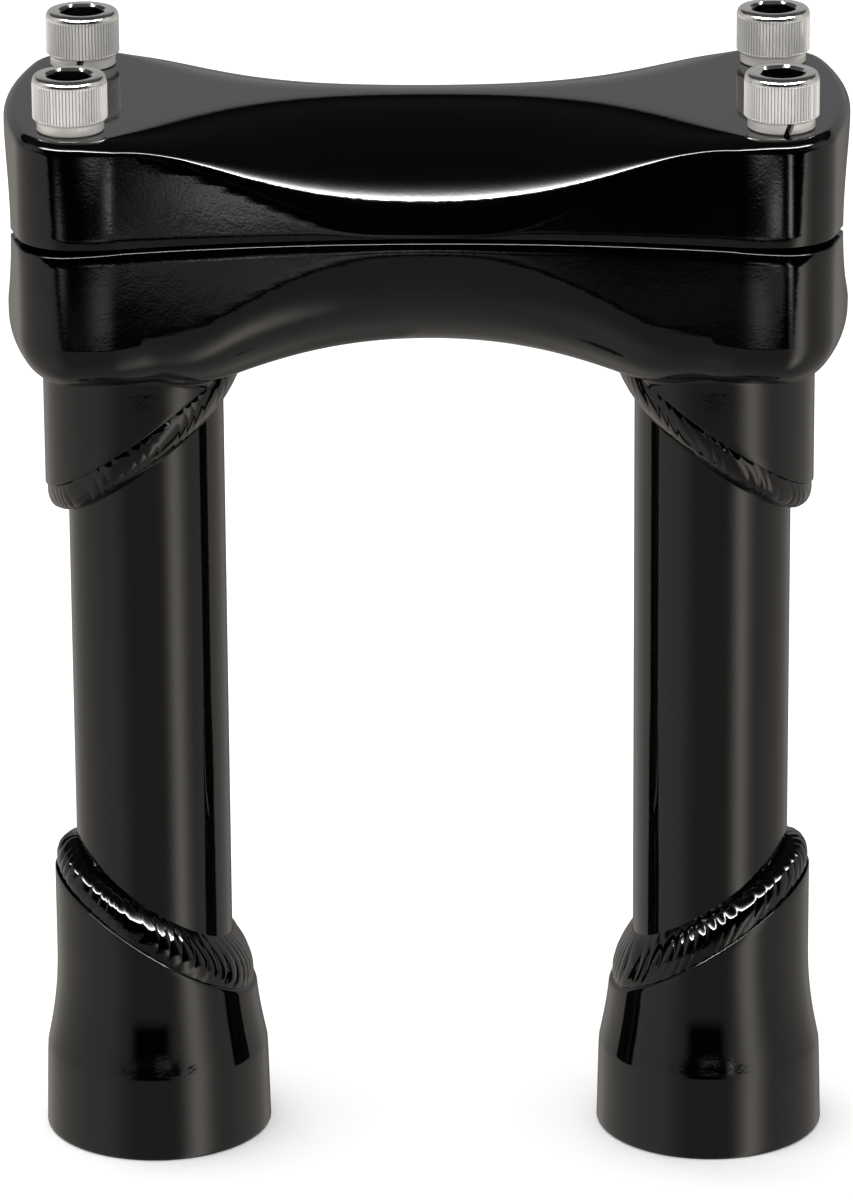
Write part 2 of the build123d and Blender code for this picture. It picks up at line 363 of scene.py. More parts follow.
class NodeSheet:
    """A short way to write a node tree: makes nodes and joins their sockets."""

    def __init__(self, tree: bpy.types.NodeTree) -> None:
        """Keeps the tree that the nodes go into."""
        self.tree = tree

    def node(
        self, kind: str, inputs: dict[object, object] | None = None, **settings: object
    ) -> bpy.types.Node:
        """Adds a node.

        Args:
            kind: the node's type.
            inputs: what goes into its sockets, by their name or number.
            settings: properties of the node, by name.

        Returns:
            The node.
        """
        made = self.tree.nodes.new(kind)
        for key, value in settings.items():
            setattr(made, key, value)
        for key, value in (inputs or {}).items():
            self.put(made.inputs[key], value)
        return made

    def put(self, target: bpy.types.NodeSocket, source: object) -> None:
        """Joins a socket to another one, or sets its value.

        Args:
            target: the socket that takes it.
            source: a signal, a socket or a plain value.
        """
        if isinstance(source, Signal):
            source = source.socket
        if isinstance(source, bpy.types.NodeSocket):
            self.tree.links.new(source, target)
        else:
            target.default_value = source

    def math(self, operation: str, *values: object) -> Signal:
        """Adds a Math node.

        Args:
            operation: what it works out.
            values: its inputs, as signals, sockets or numbers.

        Returns:
            Its result.
        """
        made = self.node("ShaderNodeMath", dict(enumerate(values)), operation=operation)
        return Signal(self, made.outputs[0])

    def step(self, value: object, low: float, high: float) -> Signal:
        """Runs smoothly from 0 to 1 while the value runs from low to high.

        Args:
            value: the value, as a signal, a socket or a number.
            low: where it starts.
            high: where it is complete.

        Returns:
            The share from 0 to 1.
        """
        ends = {"Value": value, "From Min": low, "From Max": high}
        made = self.node("ShaderNodeMapRange", ends, interpolation_type="SMOOTHSTEP")
        return Signal(self, made.outputs[0])

    def split(self, vector: bpy.types.NodeSocket) -> list[Signal]:
        """Gives the X, Y and Z of a vector."""
        parts = self.node("ShaderNodeSeparateXYZ", {0: vector})
        return [Signal(self, socket) for socket in parts.outputs]

    def mixed(self, share: Signal, low: object, high: object) -> Signal:
        """Mixes two levels by a share from 0 to 1."""
        return low * (1.0 - share) + high * share

    def noise(
        self, vector: object, scale: float, detail: float, roughness: float = 0.5
    ) -> bpy.types.NodeSocket:
        """Adds a noise pattern.

        Args:
            vector: the coordinates that it reads.
            scale: how many waves there are in a metre.
            detail: how many finer layers it has.
            roughness: how strong the finer layers are.

        Returns:
            Its grey value.
        """
        inputs = {"Vector": vector, "Scale": scale, "Detail": detail, "Roughness": roughness}
        return self.node("ShaderNodeTexNoise", inputs).outputs["Fac"]

    def ramp(
        self, value: object, low: tuple[float, ...], high: tuple[float, ...]
    ) -> bpy.types.NodeSocket:
        """Mixes two colours by a value from 0 to 1, through the Mix node's colour sockets."""
        inputs = {0: value, 6: (*low, 1.0), 7: (*high, 1.0)}
        return self.node("ShaderNodeMix", inputs, data_type="RGBA").outputs[2]

    def blend(self, share: object, first: bpy.types.Node, second: bpy.types.Node) -> bpy.types.Node:
        """Mixes two shaders by a share from 0 to 1."""
        inputs = {0: share, 1: first.outputs[0], 2: second.outputs[0]}
        return self.node("ShaderNodeMixShader", inputs)

    def bump(
        self, height: object, distance: float, strength: float, below: object = None
    ) -> bpy.types.NodeSocket:
        """Adds a bump.

        Args:
            height: the height pattern, from 0 to 1.
            distance: how high 1 stands, in metres.
            strength: how much of it shows.
            below: the normal of a bump beneath this one.

        Returns:
            The bumped normal.
        """
        inputs = {"Strength": strength, "Distance": distance, "Height": height}
        if below is not None:
            inputs["Normal"] = below
        return self.node("ShaderNodeBump", inputs).outputs[0]


@dataclass(frozen=True)
class Marks:
    """A fine relief in a surface: waves in a metre, height in metres, layers and strength."""

    waves: float
    height: float
    layers: float
    roughness: float = 0.5
    strength: float = 0.5

    def build(
        self, sheet: NodeSheet, place: bpy.types.NodeSocket, below: object = None
    ) -> bpy.types.NodeSocket:
        """Makes the relief's bump.

        Args:
            sheet: the material's node sheet.
            place: the coordinates that it reads.
            below: the normal of a relief beneath this one.

        Returns:
            The bumped normal.
        """
        pattern = sheet.noise(place, self.waves, self.layers, self.roughness)
        return sheet.bump(pattern, self.height, self.strength, below)


@dataclass(frozen=True)
class Stain:
    """Soft patches: waves in a metre and their layers, two colours and two roughnesses."""

    waves: float
    layers: float
    dark: tuple[float, float, float]
    light: tuple[float, float, float]
    smooth: float
    worn: float

    def build(
        self, sheet: NodeSheet, shader: bpy.types.Node, place: bpy.types.NodeSocket
    ) -> bpy.types.NodeSocket:
        """Makes the patches, and gives the shader their roughness.

        Args:
            sheet: the material's node sheet.
            shader: the material's shader.
            place: the coordinates that the pattern reads.

        Returns:
            The patches' colour.
        """
        patch = sheet.noise(place, self.waves, self.layers)
        grey = sheet.ramp(patch, (self.smooth,) * 3, (self.worn,) * 3)
        sheet.put(shader.inputs["Roughness"], grey)
        return sheet.ramp(patch, self.dark, self.light)


def blank_material(
    name: str,
) -> tuple[bpy.types.Material, NodeSheet, bpy.types.Node, bpy.types.NodeSocket]:
    """Starts a material.

    Args:
        name: its name.

    Returns:
        The material, its node sheet, its shader and its object coordinates.
    """
    material = bpy.data.materials.new(name)
    material.use_nodes = True
    sheet = NodeSheet(material.node_tree)
    shader = material.node_tree.nodes["Principled BSDF"]
    place = sheet.node("ShaderNodeTexCoord").outputs["Object"]
    return material, sheet, shader, place


@dataclass(frozen=True)
class GlossBlack:
    """Gloss black powder coat: a deep black film with a faint orange peel and fine dust nibs."""

    slot: str = "gloss_black"
    cloud: Stain = Stain(60.0, 3.0, (0.0003,) * 3, (0.0007, 0.0006, 0.0006), 0.03, 0.06)
    film_index: float = 1.5
    peel: Marks = Marks(420.0, 0.000012, 1.5, 0.4, 0.6)
    nibs: Marks = Marks(2000.0, 0.000008, 2.0, 0.6, 0.6)

    def build(self) -> bpy.types.Material:
        """Makes the material.

        Returns:
            The material.
        """
        material, sheet, shader, place = blank_material(self.slot)
        sheet.put(shader.inputs["Base Color"], self.cloud.build(sheet, shader, place))
        shader.inputs["IOR"].default_value = self.film_index
        peel = self.peel.build(sheet, place)
        sheet.put(shader.inputs["Normal"], self.nibs.build(sheet, place, peel))
        return material


@dataclass(frozen=True)
class Stainless:
    """Bright stainless steel: satin on the knurl, turned smooth on top, with painted shade in the
    knurl's grooves and in the socket; the socket's painted shade also darkens the shank and thread.
    """

    slot: str = "stainless"
    stain: Stain = Stain(260.0, 4.0, (0.8, 0.78, 0.75), (0.92, 0.9, 0.87), 0.12, 0.24)
    marks: Marks = Marks(900.0, 0.000006, 3.0)
    mark_stretch: tuple[float, float, float] = (1.0, 1.0, 6.0)
    turned_from: tuple[float, float] = (0.17935, 0.17955)
    socket_from: tuple[float, float] = (0.17988, 0.17998)
    socket_wall: tuple[float, float] = (0.0042, 0.0045)
    satin: float = 0.62
    grooves: int = 68
    groove_edge: tuple[float, float] = (-0.35, -1.0)
    # Strength of the painted shade in the knurl's grooves.
    groove_shade_strength: float = 0.6
    # Strength of the painted shade in the socket, which also falls on the shank and thread.
    socket_shade_strength: float = 0.85
    head: tuple[float, float] = (0.054, 0.0185)

    def build(self) -> bpy.types.Material:
        """Makes the material.

        Returns:
            The material.
        """
        material, sheet, shader, place = blank_material(self.slot)
        colour = self.stain.build(sheet, shader, place)
        x, y, z = sheet.split(place)
        aside, ahead = abs(x) - self.head[0], abs(y) - self.head[1]
        knurl = sheet.step(sheet.math("SQRT", aside**2 + ahead**2), *self.socket_wall)
        side = knurl * (1.0 - sheet.step(z, *self.turned_from))
        sheet.put(shader.inputs["Metallic"], 1.0 + side * -self.satin)
        # Painted shade in the knurl's grooves: the colour darkens in bands round the head's side,
        # as many as the grooves.
        wave = sheet.math("COSINE", sheet.math("ARCTAN2", ahead, aside) * float(self.grooves))
        groove_shade_mask = sheet.step(wave, *self.groove_edge) * side
        # Painted shade in the hexagon socket: the colour darkens inside the knurl's radius below
        # the socket's mouth, and so also on the shank and thread.
        socket_shade_mask = (1.0 - knurl) * (1.0 - sheet.step(z, *self.socket_from))
        shade = 1.0 - (socket_shade_mask * self.socket_shade_strength + groove_shade_mask * self.groove_shade_strength)
        shaded_colour = sheet.node("ShaderNodeVectorMath", {0: colour, "Scale": shade}, operation="SCALE")
        sheet.put(shader.inputs["Base Color"], shaded_colour.outputs[0])
        stretch = sheet.node("ShaderNodeMapping", {"Scale": self.mark_stretch, "Vector": place})
        sheet.put(shader.inputs["Normal"], self.marks.build(sheet, stretch.outputs[0]))
        return material


@dataclass(frozen=True)
class WasherSteel:
    """Plain spring steel of the lock washers, a little duller than the capscrews."""

    slot: str = "washer_steel"
    stain: Stain = Stain(400.0, 3.0, (0.78, 0.75, 0.7), (0.9, 0.87, 0.82), 0.14, 0.28)
    marks: Marks = Marks(1200.0, 0.000008, 2.0)
    satin: float = 0.6

    def build(self) -> bpy.types.Material:
        """Makes the material.

        Returns:
            The material.
        """
        material, sheet, shader, place = blank_material(self.slot)
        sheet.put(shader.inputs["Base Color"], self.stain.build(sheet, shader, place))
        shader.inputs["Metallic"].default_value = 1.0 - self.satin
        sheet.put(shader.inputs["Normal"], self.marks.build(sheet, place))
        return material


# The clamp


@dataclass
class ClampForm:
    """The outer form of the bar clamp, before it is split: sizes in millimetres."""

    bar_height: float = 154.7
    bar_radius: float = 12.7
    half_length: float = 65.25
    end_radius: float = 75.0
    corner_radius: float = 9.0
    block_half_width: float = 27.15
    barrel_half_width: float = 21.75
    waist_radius: float = 228.0
    waist_ease_radius: float = 25.0
    top: float = 171.7
    bottom: float = 131.3
    crown: float = 0.5
    arch_height: float = 133.45
    arch_radius: float = 138.0
    arch_end: float = 29.0
    arch_ease: float = 14.0
    top_edge_round: float = 1.8
    bottom_edge_round: float = 7.5
    barrel_top_drop: float = 18.6
    barrel_bottom_rise: float = 19.375
    barrel_shoulder: float = 21.65
    barrel_end: float = 48.0
    run_end: float = 50.95
    drop_end: float = 46.08
    core_fade: tuple[float, float] = (2.5, 2.0)
    run_fade: tuple[float, float] = (4.0, 1.5)
    drop_fade: tuple[float, float] = (2.0, 2.0)

    @property
    def block_start(self) -> float:
        """Where the waist ends and the straight side of a block starts.

        Returns:
            The distance from the riser's middle, along the bar.
        """
        reach = 2 * (self.waist_radius + self.waist_ease_radius)
        step = self.block_half_width - self.barrel_half_width
        return math.sqrt(reach * step - step * step)

    @property
    def end_centre(self) -> float:
        """Where the centre of the bowed end wall's arc lies on X."""
        return self.half_length - self.end_radius

    @property
    def corner(self) -> tuple[float, float]:
        """The plan corner of a block, on the right and rear.

        Returns:
            The X and Y of its centre.
        """
        y = self.block_half_width - self.corner_radius
        reach = self.end_radius - self.corner_radius
        return self.end_centre + math.sqrt(reach * reach - y * y), y

    def half_width(self, x: np.ndarray) -> np.ndarray:
        """Half the clamp's width along the bar: a waist that eases into straight blocks.

        Args:
            x: places along the bar.

        Returns:
            How far the front and the rear stand from the bar's axis.
        """
        a = np.minimum(np.abs(x), self.block_start)
        reach = self.waist_radius + self.waist_ease_radius
        waist_end = self.block_start * self.waist_radius / reach
        waist = self.barrel_half_width + self.waist_radius - np.sqrt(self.waist_radius**2 - a**2)
        arc = np.sqrt(self.waist_ease_radius**2 - (self.block_start - a) ** 2)
        eased = self.block_half_width - self.waist_ease_radius + arc
        return np.where(a <= waist_end, waist, eased)

    def core(self, x: np.ndarray) -> np.ndarray:
        """How round the section is: 1 on the barrel, 0 at the blocks."""
        return fade(x, self.barrel_end, *self.core_fade)

    def topside(self, x: np.ndarray) -> np.ndarray:
        """Height of the clamp's top."""
        return self.top + self.crown * self.core(x)

    def underside(self, x: np.ndarray) -> np.ndarray:
        """Height of the clamp's underside along its middle: an arch that runs down to the stubs."""
        arch = self.arch_height - np.asarray(x) ** 2 / (2 * self.arch_radius)
        return arch + (self.bottom - arch) * ease((np.abs(x) - self.arch_end) / self.arch_ease)

    def corner_sizes(self, x: np.ndarray, kind: HalfKind) -> tuple[np.ndarray, np.ndarray]:
        """The reach across and the height of the section's rounded corner.

        Args:
            x: places along the bar.
            kind: the upper or the lower half.

        Returns:
            How far the corner runs inwards, and how high it is.
        """
        if kind is HalfKind.LOWER:
            small, tall = self.bottom_edge_round, self.barrel_bottom_rise
            across = upwards = self.core(x)
        else:
            small, tall = self.top_edge_round, self.barrel_top_drop
            across = fade(x, self.run_end, *self.run_fade)
            upwards = fade(x, self.drop_end, *self.drop_fade)
        return small + (self.barrel_shoulder - small) * across, small + (tall - small) * upwards

    def end_wall(self, y: np.ndarray) -> np.ndarray:
        """Where the right end wall stands, for places across the clamp."""
        return self.end_centre + np.sqrt(self.end_radius**2 - np.asarray(y) ** 2)

    def under_surface(self, x: np.ndarray, y: np.ndarray) -> np.ndarray:
        """Height of the underside at any place, with its rounded edges.

        Args:
            x: places along the bar.
            y: places across the bar.

        Returns:
            The heights.
        """
        run, rise = self.corner_sizes(x, HalfKind.LOWER)
        past = np.clip((np.abs(y) - self.half_width(x) + run) / run, 0.0, 1.0)
        side = self.underside(x) + rise * (1 - np.sqrt(1 - past * past))
        inset = self.end_radius - np.hypot(np.abs(x) - self.end_centre, y)
        near = np.clip((self.bottom_edge_round - inset) / self.bottom_edge_round, 0.0, 1.0)
        return side + self.bottom_edge_round * (1 - np.sqrt(1 - near * near))


@dataclass
class ScrewPattern:
    """Where the clamp's capscrews stand, in millimetres."""

    x: float = 54.0
    y: float = 18.5
    shank_radius: float = 3.97
    clearance: float = 0.33
    thread_gap: float = 0.08
    tap_bottom: float = 134.02


@dataclass
class ClampHalf:
    """One half of the bar clamp: skin, bore with rounded mouths, split face and screw holes."""

    kind: HalfKind
    form: ClampForm
    screws: ScrewPattern
    half_gap: float = 0.25
    relief_start: float = 46.0
    relief_run: float = 13.0
    relief_rise: float = 0.65
    mouth_round: float = 2.3
    hole_flats: int = 48
    hole_chamfer: float = 0.35
    lip_steps: int = 4
    wall_steps: int = 9
    arc_steps: int = 14
    barrel_steps: int = 80
    bridge_x: float = 50.0
    bore_steps: int = 16
    bore_ends: tuple[float, float] = (52.0, 55.5)
    end_steps: int = 6
    end_posts_count: int = 31
    corner_steps: tuple[int, int] = (6, 7)
    mouth_steps: int = 8
    upper_lip: float = 0.22
    lower_lip: float = 0.42
    bend_share: float = 0.4
    least_bend: float = 0.02
    support: float = 0.3
    support_share: float = 0.4

    def __post_init__(self) -> None:
        """Starts the skin and the list of screw holes."""
        self.skin = Skin()
        self.holes: dict[tuple[Side, End], tuple[np.ndarray, np.ndarray]] = {}

    @property
    def lip_round(self) -> float:
        """How round the lip at the split is: softer on the lower half."""
        return self.upper_lip if self.kind is HalfKind.UPPER else self.lower_lip

    @property
    def up(self) -> int:
        """The way from the split to the outside of this half."""
        return self.kind.value

    def split_face(self, x: np.ndarray) -> np.ndarray:
        """Height of the split face: the lower half falls away a little towards its ends.

        Args:
            x: places along the bar.

        Returns:
            The heights.
        """
        flat = np.full(np.shape(x), self.form.bar_height + self.up * self.half_gap)
        if self.kind is HalfKind.UPPER:
            return flat
        fall = np.clip((np.abs(x) - self.relief_start) / self.relief_run, 0.0, 1.0)
        return flat - self.relief_rise * fall

    def shell(self, x: np.ndarray) -> np.ndarray:
        """Height of this half's outer side along its middle."""
        return self.form.topside(x) if self.kind is HalfKind.UPPER else self.form.underside(x)

    def profile(self, x: float) -> np.ndarray:
        """The section's edge at one place, from the split's lip to the flat of the outer side.

        Args:
            x: the place along the bar.

        Returns:
            Rows of how far a point stands in from the outline, and its height.
        """
        run, drop = (float(v) for v in self.form.corner_sizes(x, self.kind))
        shell = float(self.shell(x))
        face = float(self.split_face(x))
        arc_start = shell - self.up * drop
        lip_end = face + self.up * self.lip_round
        wall = max(0.0, self.up * (arc_start - lip_end))
        sunk = max(0.0, self.up * (lip_end - arc_start)) / drop
        first = math.asin(min(1.0, sunk))
        arc = (run + drop) / 2 * (math.pi / 2 - first)
        share = self.bend_share * float(self.form.core(x))
        bend = wall + share * arc
        walls = bend * (np.arange(self.wall_steps + 1) / self.wall_steps)
        if share < self.least_bend:
            walls[-2] = wall - self.support
        arcs = bend + (wall + arc - bend) * np.arange(1, self.arc_steps + 1) / self.arc_steps
        rows = []
        for along in np.concatenate([walls, arcs]):
            turn = first + (math.pi / 2 - first) * max(0.0, along - wall) / arc
            height = lip_end + self.up * along
            if along > wall:
                height = arc_start + self.up * drop * math.sin(turn)
            rows.append((run * (1 - math.cos(turn)), height))
        lip = []
        for turn in quarter(self.lip_steps)[:-1]:
            out = self.lip_round * (1 - math.sin(turn))
            rise = self.up * self.lip_round * (1 - math.cos(turn))
            lip.append((rows[0][0] + out, face + rise))
        room = self.support_share * (float(self.form.half_width(x)) - run)
        rows.append((run + min(self.support, room), shell))
        return np.array(lip + rows)

    def side_posts(self) -> tuple[np.ndarray, np.ndarray, np.ndarray]:
        """The outline of the front, from its left corner to its right one.

        Returns:
            The posts' places, their directions inwards, and the X that sets each one's section.
        """
        corner_x, corner_y = self.form.corner
        radius = self.form.corner_radius
        sweep = math.atan2(corner_x - self.form.end_centre, corner_y)
        relief_turn = math.asin((self.relief_start + self.relief_run - corner_x) / radius)
        near, far = self.corner_steps
        turns = np.concatenate(
            [np.linspace(0, relief_turn, near), np.linspace(relief_turn, sweep, far)[1:]]
        )
        barrel = np.linspace(0, self.form.barrel_end, self.barrel_steps + 1)
        straight = np.concatenate([barrel, [self.bridge_x, self.form.block_start]])
        xs = np.concatenate([-straight[:0:-1], straight])
        middle = np.stack([xs, -self.form.half_width(xs)], 1)
        arc = np.stack([corner_x + radius * np.sin(turns), -corner_y - radius * np.cos(turns)], 1)
        inwards = np.stack([-np.sin(turns), np.cos(turns)], 1)
        flip = np.array([-1.0, 1.0])
        places = np.concatenate([arc[::-1] * flip, middle, arc])
        ways = np.concatenate([inwards[::-1] * flip, np.tile([0.0, 1.0], (len(xs), 1)), inwards])
        return places, ways, places[:, 0].copy()

    def end_posts(self) -> tuple[np.ndarray, np.ndarray]:
        """The outline of the right end wall between its two corners, from front to rear.

        Returns:
            The posts' places, and their directions inwards.
        """
        corner_x, corner_y = self.form.corner
        turn = math.atan2(corner_y, corner_x - self.form.end_centre)
        angles = np.linspace(-turn, turn, self.end_posts_count)[1:-1]
        rays = np.stack([np.cos(angles), np.sin(angles)], 1)
        places = rays * self.form.end_radius + np.array([self.form.end_centre, 0.0])
        return places, -rays

    def raise_posts(self, places: np.ndarray, ways: np.ndarray, xs: np.ndarray) -> np.ndarray:
        """Turns an outline into a grid of points.

        Args:
            places: the outline's points.
            ways: the direction inwards at each one.
            xs: the X that sets the section at each one.

        Returns:
            The points, one row for each post.
        """
        rows = []
        for place, way, x in zip(places, ways, xs):
            profile = self.profile(float(x))
            flat = place + profile[:, :1] * way
            rows.append(np.hstack([flat, profile[:, 1:]]))
        return np.array(rows)

    def build(self, finish: bpy.types.Material) -> bpy.types.Object:
        """Makes this half.

        Args:
            finish: its material.

        Returns:
            The object.
        """
        skin = self.skin
        places, ways, xs = self.side_posts()
        front_points = self.raise_posts(places, ways, xs)
        front = skin.add(front_points)
        rear = skin.add(front_points * np.array([1.0, -1.0, 1.0]))
        skin.grid(front)
        skin.grid(rear)
        wall_top = self.lip_steps + self.wall_steps
        end_places, end_ways = self.end_posts()
        end_points = self.raise_posts(end_places, end_ways, end_places[:, 0])[:, wall_top:]
        rims = {}
        for side, column in ((Side.RIGHT, -1), (Side.LEFT, 0)):
            middle = skin.add(end_points * np.array([side.value, 1.0, 1.0]))
            rims[side] = np.vstack([front[column, wall_top:], middle, rear[column, wall_top:]])
            skin.grid(rims[side])
        bore = self.add_ends(front, rear, rims, wall_top)
        self.close_outer_side(xs, front, rear, rims)
        self.close_split(xs, front, rear, bore)
        name = "upper_clamp_body" if self.kind is HalfKind.UPPER else "lower_clamp_body"
        return skin.build(name, finish)

    def bore_angles(self, x: np.ndarray, radius: float, shares: np.ndarray) -> np.ndarray:
        """Angles round the bar from the front of the split to the rear of it.

        Args:
            x: places along the bar.
            radius: the distance from the bar's axis.
            shares: how far round each point lies, from 0 to 1.

        Returns:
            The angles, in radians.
        """
        drop = np.abs(self.split_face(x) - self.form.bar_height)
        first = np.arcsin(drop / radius)
        return first + (math.pi - 2 * first) * shares

    def around_bar(self, x: np.ndarray, radius: float, shares: np.ndarray) -> np.ndarray:
        """Points round the bar's axis, on this half's side of the split.

        Args:
            x: places along the bar.
            radius: the distance from the bar's axis.
            shares: how far round each point lies, from 0 to 1.

        Returns:
            The points.
        """
        angle = self.bore_angles(x, radius, shares)
        y = -radius * np.cos(angle)
        z = self.form.bar_height + self.up * radius * np.sin(angle)
        return np.stack(np.broadcast_arrays(x, y, z), -1)

    def add_ends(
        self, front: np.ndarray, rear: np.ndarray, rims: dict[Side, np.ndarray], wall_top: int
    ) -> dict[str, np.ndarray]:
        """Adds the end walls, the rounded mouths and the bore between them.

        Args:
            front: the front skin's points.
            rear: the rear skin's points.
            rims: each end's rounded rim.
            wall_top: the column where the walls end and the rims start.

        Returns:
            The bore's points by station, and the X of each station.
        """
        skin, form = self.skin, self.form
        mouths = {}
        shares = None
        for side, column in ((Side.RIGHT, -1), (Side.LEFT, 0)):
            lips = front[column, :wall_top], rear[column, :wall_top][::-1]
            loop = np.concatenate([lips[0], rims[side][:, 0], lips[1]])
            outer = np.array([skin.points[i] for i in loop])
            spread = np.arctan2(self.up * (outer[:, 2] - form.bar_height), -outer[:, 1])
            shares = (spread - spread[0]) / (spread[-1] - spread[0])
            end_x = np.full(len(loop), form.half_length)
            inner = self.around_bar(end_x, form.bar_radius + self.mouth_round, shares)
            rows = [loop]
            for part in np.linspace(0, 1, self.end_steps + 1)[1:]:
                flat = outer * (1 - part) + inner * part
                over = self.up * (flat[:, 2] - self.split_face(end_x)) / self.lip_round
                near = np.clip(1 - over, 0.0, 1.0)
                lip = self.lip_round * (1 - np.sqrt(1 - near * near))
                flat[:, 0] = side.value * (form.end_wall(flat[:, 1]) - lip * (1 - part))
                rows.append(skin.add(flat))
            for turn in quarter(self.mouth_steps)[1:]:
                radius = form.bar_radius + self.mouth_round * (1 - math.sin(turn))
                ring = self.around_bar(end_x, radius, shares)
                depth = self.mouth_round * (1 - math.cos(turn))
                ring[:, 0] = side.value * (form.end_wall(ring[:, 1]) - depth)
                rows.append(skin.add(ring))
            skin.grid(np.array(rows))
            mouths[side] = np.array(rows)
        relief = [self.relief_start, self.relief_start + self.relief_run]
        even = np.linspace(0, form.barrel_end, self.bore_steps + 1)
        xs = np.unique(np.concatenate([even, self.bore_ends, relief]))
        xs = np.concatenate([-xs[:0:-1], xs])
        columns = [mouths[Side.LEFT][-1]]
        for x in xs:
            place = np.full(len(shares), x)
            columns.append(skin.add(self.around_bar(place, form.bar_radius, shares)))
        columns.append(mouths[Side.RIGHT][-1])
        skin.grid(np.array(columns))
        return {
            "columns": np.array(columns),
            "xs": xs,
            "left": mouths[Side.LEFT],
            "right": mouths[Side.RIGHT],
        }

    def hole_ring(self, x: float, y: float, radius: float, height: float | None) -> np.ndarray:
        """Adds a ring of points for a screw hole.

        Args:
            x: the hole's place along the bar.
            y: its place across the bar.
            radius: the ring's radius.
            height: the ring's height, or None where it lies on the split face.

        Returns:
            The ring's indices.
        """
        angles = circle(self.hole_flats)
        level = self.split_face(x + radius * np.cos(angles)) if height is None else height
        return self.skin.add(ring_points((x, y), radius, angles, level))

    def add_hole(self, x: float, y: float) -> tuple[np.ndarray, np.ndarray]:
        """Adds a screw hole.

        Args:
            x: its place along the bar.
            y: its place across the bar.

        Returns:
            Its edge on the split face, and its edge on the outer side, empty if it is blind.
        """
        form, screws, cut = self.form, self.screws, self.hole_chamfer
        if self.kind is HalfKind.UPPER:
            radius = screws.shank_radius + screws.clearance
            low = self.hole_ring(x, y, radius + cut, None)
            inner = self.hole_ring(x, y, radius, form.bar_height + self.half_gap + cut)
            outer = self.hole_ring(x, y, radius, form.top - cut)
            high = self.hole_ring(x, y, radius + cut, form.top)
            self.skin.grid(np.array([low, inner, outer, high]), close_columns=True)
            return low, high
        radius = screws.shank_radius + screws.thread_gap
        mouth = self.hole_ring(x, y, radius + cut, None)
        lip = self.hole_ring(x, y, radius, form.bar_height - self.half_gap - self.relief_rise - cut)
        floor = self.hole_ring(x, y, radius, screws.tap_bottom)
        self.skin.grid(np.array([mouth, lip, floor]), close_columns=True)
        self.skin.cap(floor)
        return mouth, np.array([], int)

    def close_outer_side(
        self, xs: np.ndarray, front: np.ndarray, rear: np.ndarray, rims: dict[Side, np.ndarray]
    ) -> None:
        """Closes the top or the underside: strips over the barrel, one flat at each block.

        Args:
            xs: the place along the bar of each post.
            front: the front skin's points.
            rear: the rear skin's points.
            rims: each end's rounded rim.
        """
        on_barrel = np.where(np.abs(xs) <= self.form.barrel_end + NEARLY)[0]
        self.skin.grid(np.stack([front[on_barrel, -1], rear[on_barrel, -1]], 1))
        first, last = on_barrel[0], on_barrel[-1]
        for side in Side:
            for end in End:
                place = (side.value * self.screws.x, end.value * self.screws.y)
                self.holes[side, end] = self.add_hole(*place)
        for side in Side:
            if side is Side.RIGHT:
                front_run, rear_run = front[last:, -1], rear[last:, -1]
            else:
                front_run, rear_run = front[: first + 1, -1][::-1], rear[: first + 1, -1][::-1]
            loop = list(front_run) + list(rims[side][1:-1, -1]) + list(rear_run[::-1])
            if self.kind is HalfKind.LOWER:
                self.skin.cap(np.array(loop))
                continue
            rings = [list(self.holes[side, end][1]) for end in End]
            self.skin.fill([loop] + rings)

    def close_split(
        self, xs: np.ndarray, front: np.ndarray, rear: np.ndarray, bore: dict[str, np.ndarray]
    ) -> None:
        """Closes the split face between the lips and the bore, round the screw holes.

        Args:
            xs: the place along the bar of each post.
            front: the front skin's points.
            rear: the rear skin's points.
            bore: the bore's points by station, and the X of each station.
        """
        relief_end = self.relief_start + self.relief_run
        stops = (-relief_end, -self.relief_start, self.relief_start, relief_end)
        stations = np.concatenate([[-math.inf], bore["xs"], [math.inf]])
        for end, lips, edge in ((End.FRONT, front, 0), (End.REAR, rear, -1)):
            cuts_lip = [int(np.argmin(np.abs(xs - stop))) for stop in stops]
            cuts_bore = [int(np.argmin(np.abs(stations - stop))) for stop in stops]
            starts, ends = [0] + cuts_lip, cuts_lip + [len(xs) - 1]
            bore_starts, bore_ends = [0] + cuts_bore, cuts_bore + [len(stations) - 1]
            left_end, left_block, right_block, right_end = 0, 1, 3, 4
            for part, (a, b, c, d) in enumerate(zip(starts, ends, bore_starts, bore_ends)):
                loop = list(lips[a : b + 1, 0])
                if part == right_end:
                    loop += list(bore["right"][1:, edge])
                    loop += list(bore["columns"][c:d, edge][::-1])
                elif part == left_end:
                    loop += list(bore["columns"][c + 1 : d + 1, edge][::-1])
                    loop += list(bore["left"][1:, edge][::-1])
                else:
                    loop += list(bore["columns"][c : d + 1, edge][::-1])
                rings = []
                if part in (left_block, right_block):
                    side = Side.LEFT if part == left_block else Side.RIGHT
                    rings = [list(self.holes[side, end][0])]
                self.skin.fill([loop] + rings)


# The stubs, the uprights, the feet and their welds


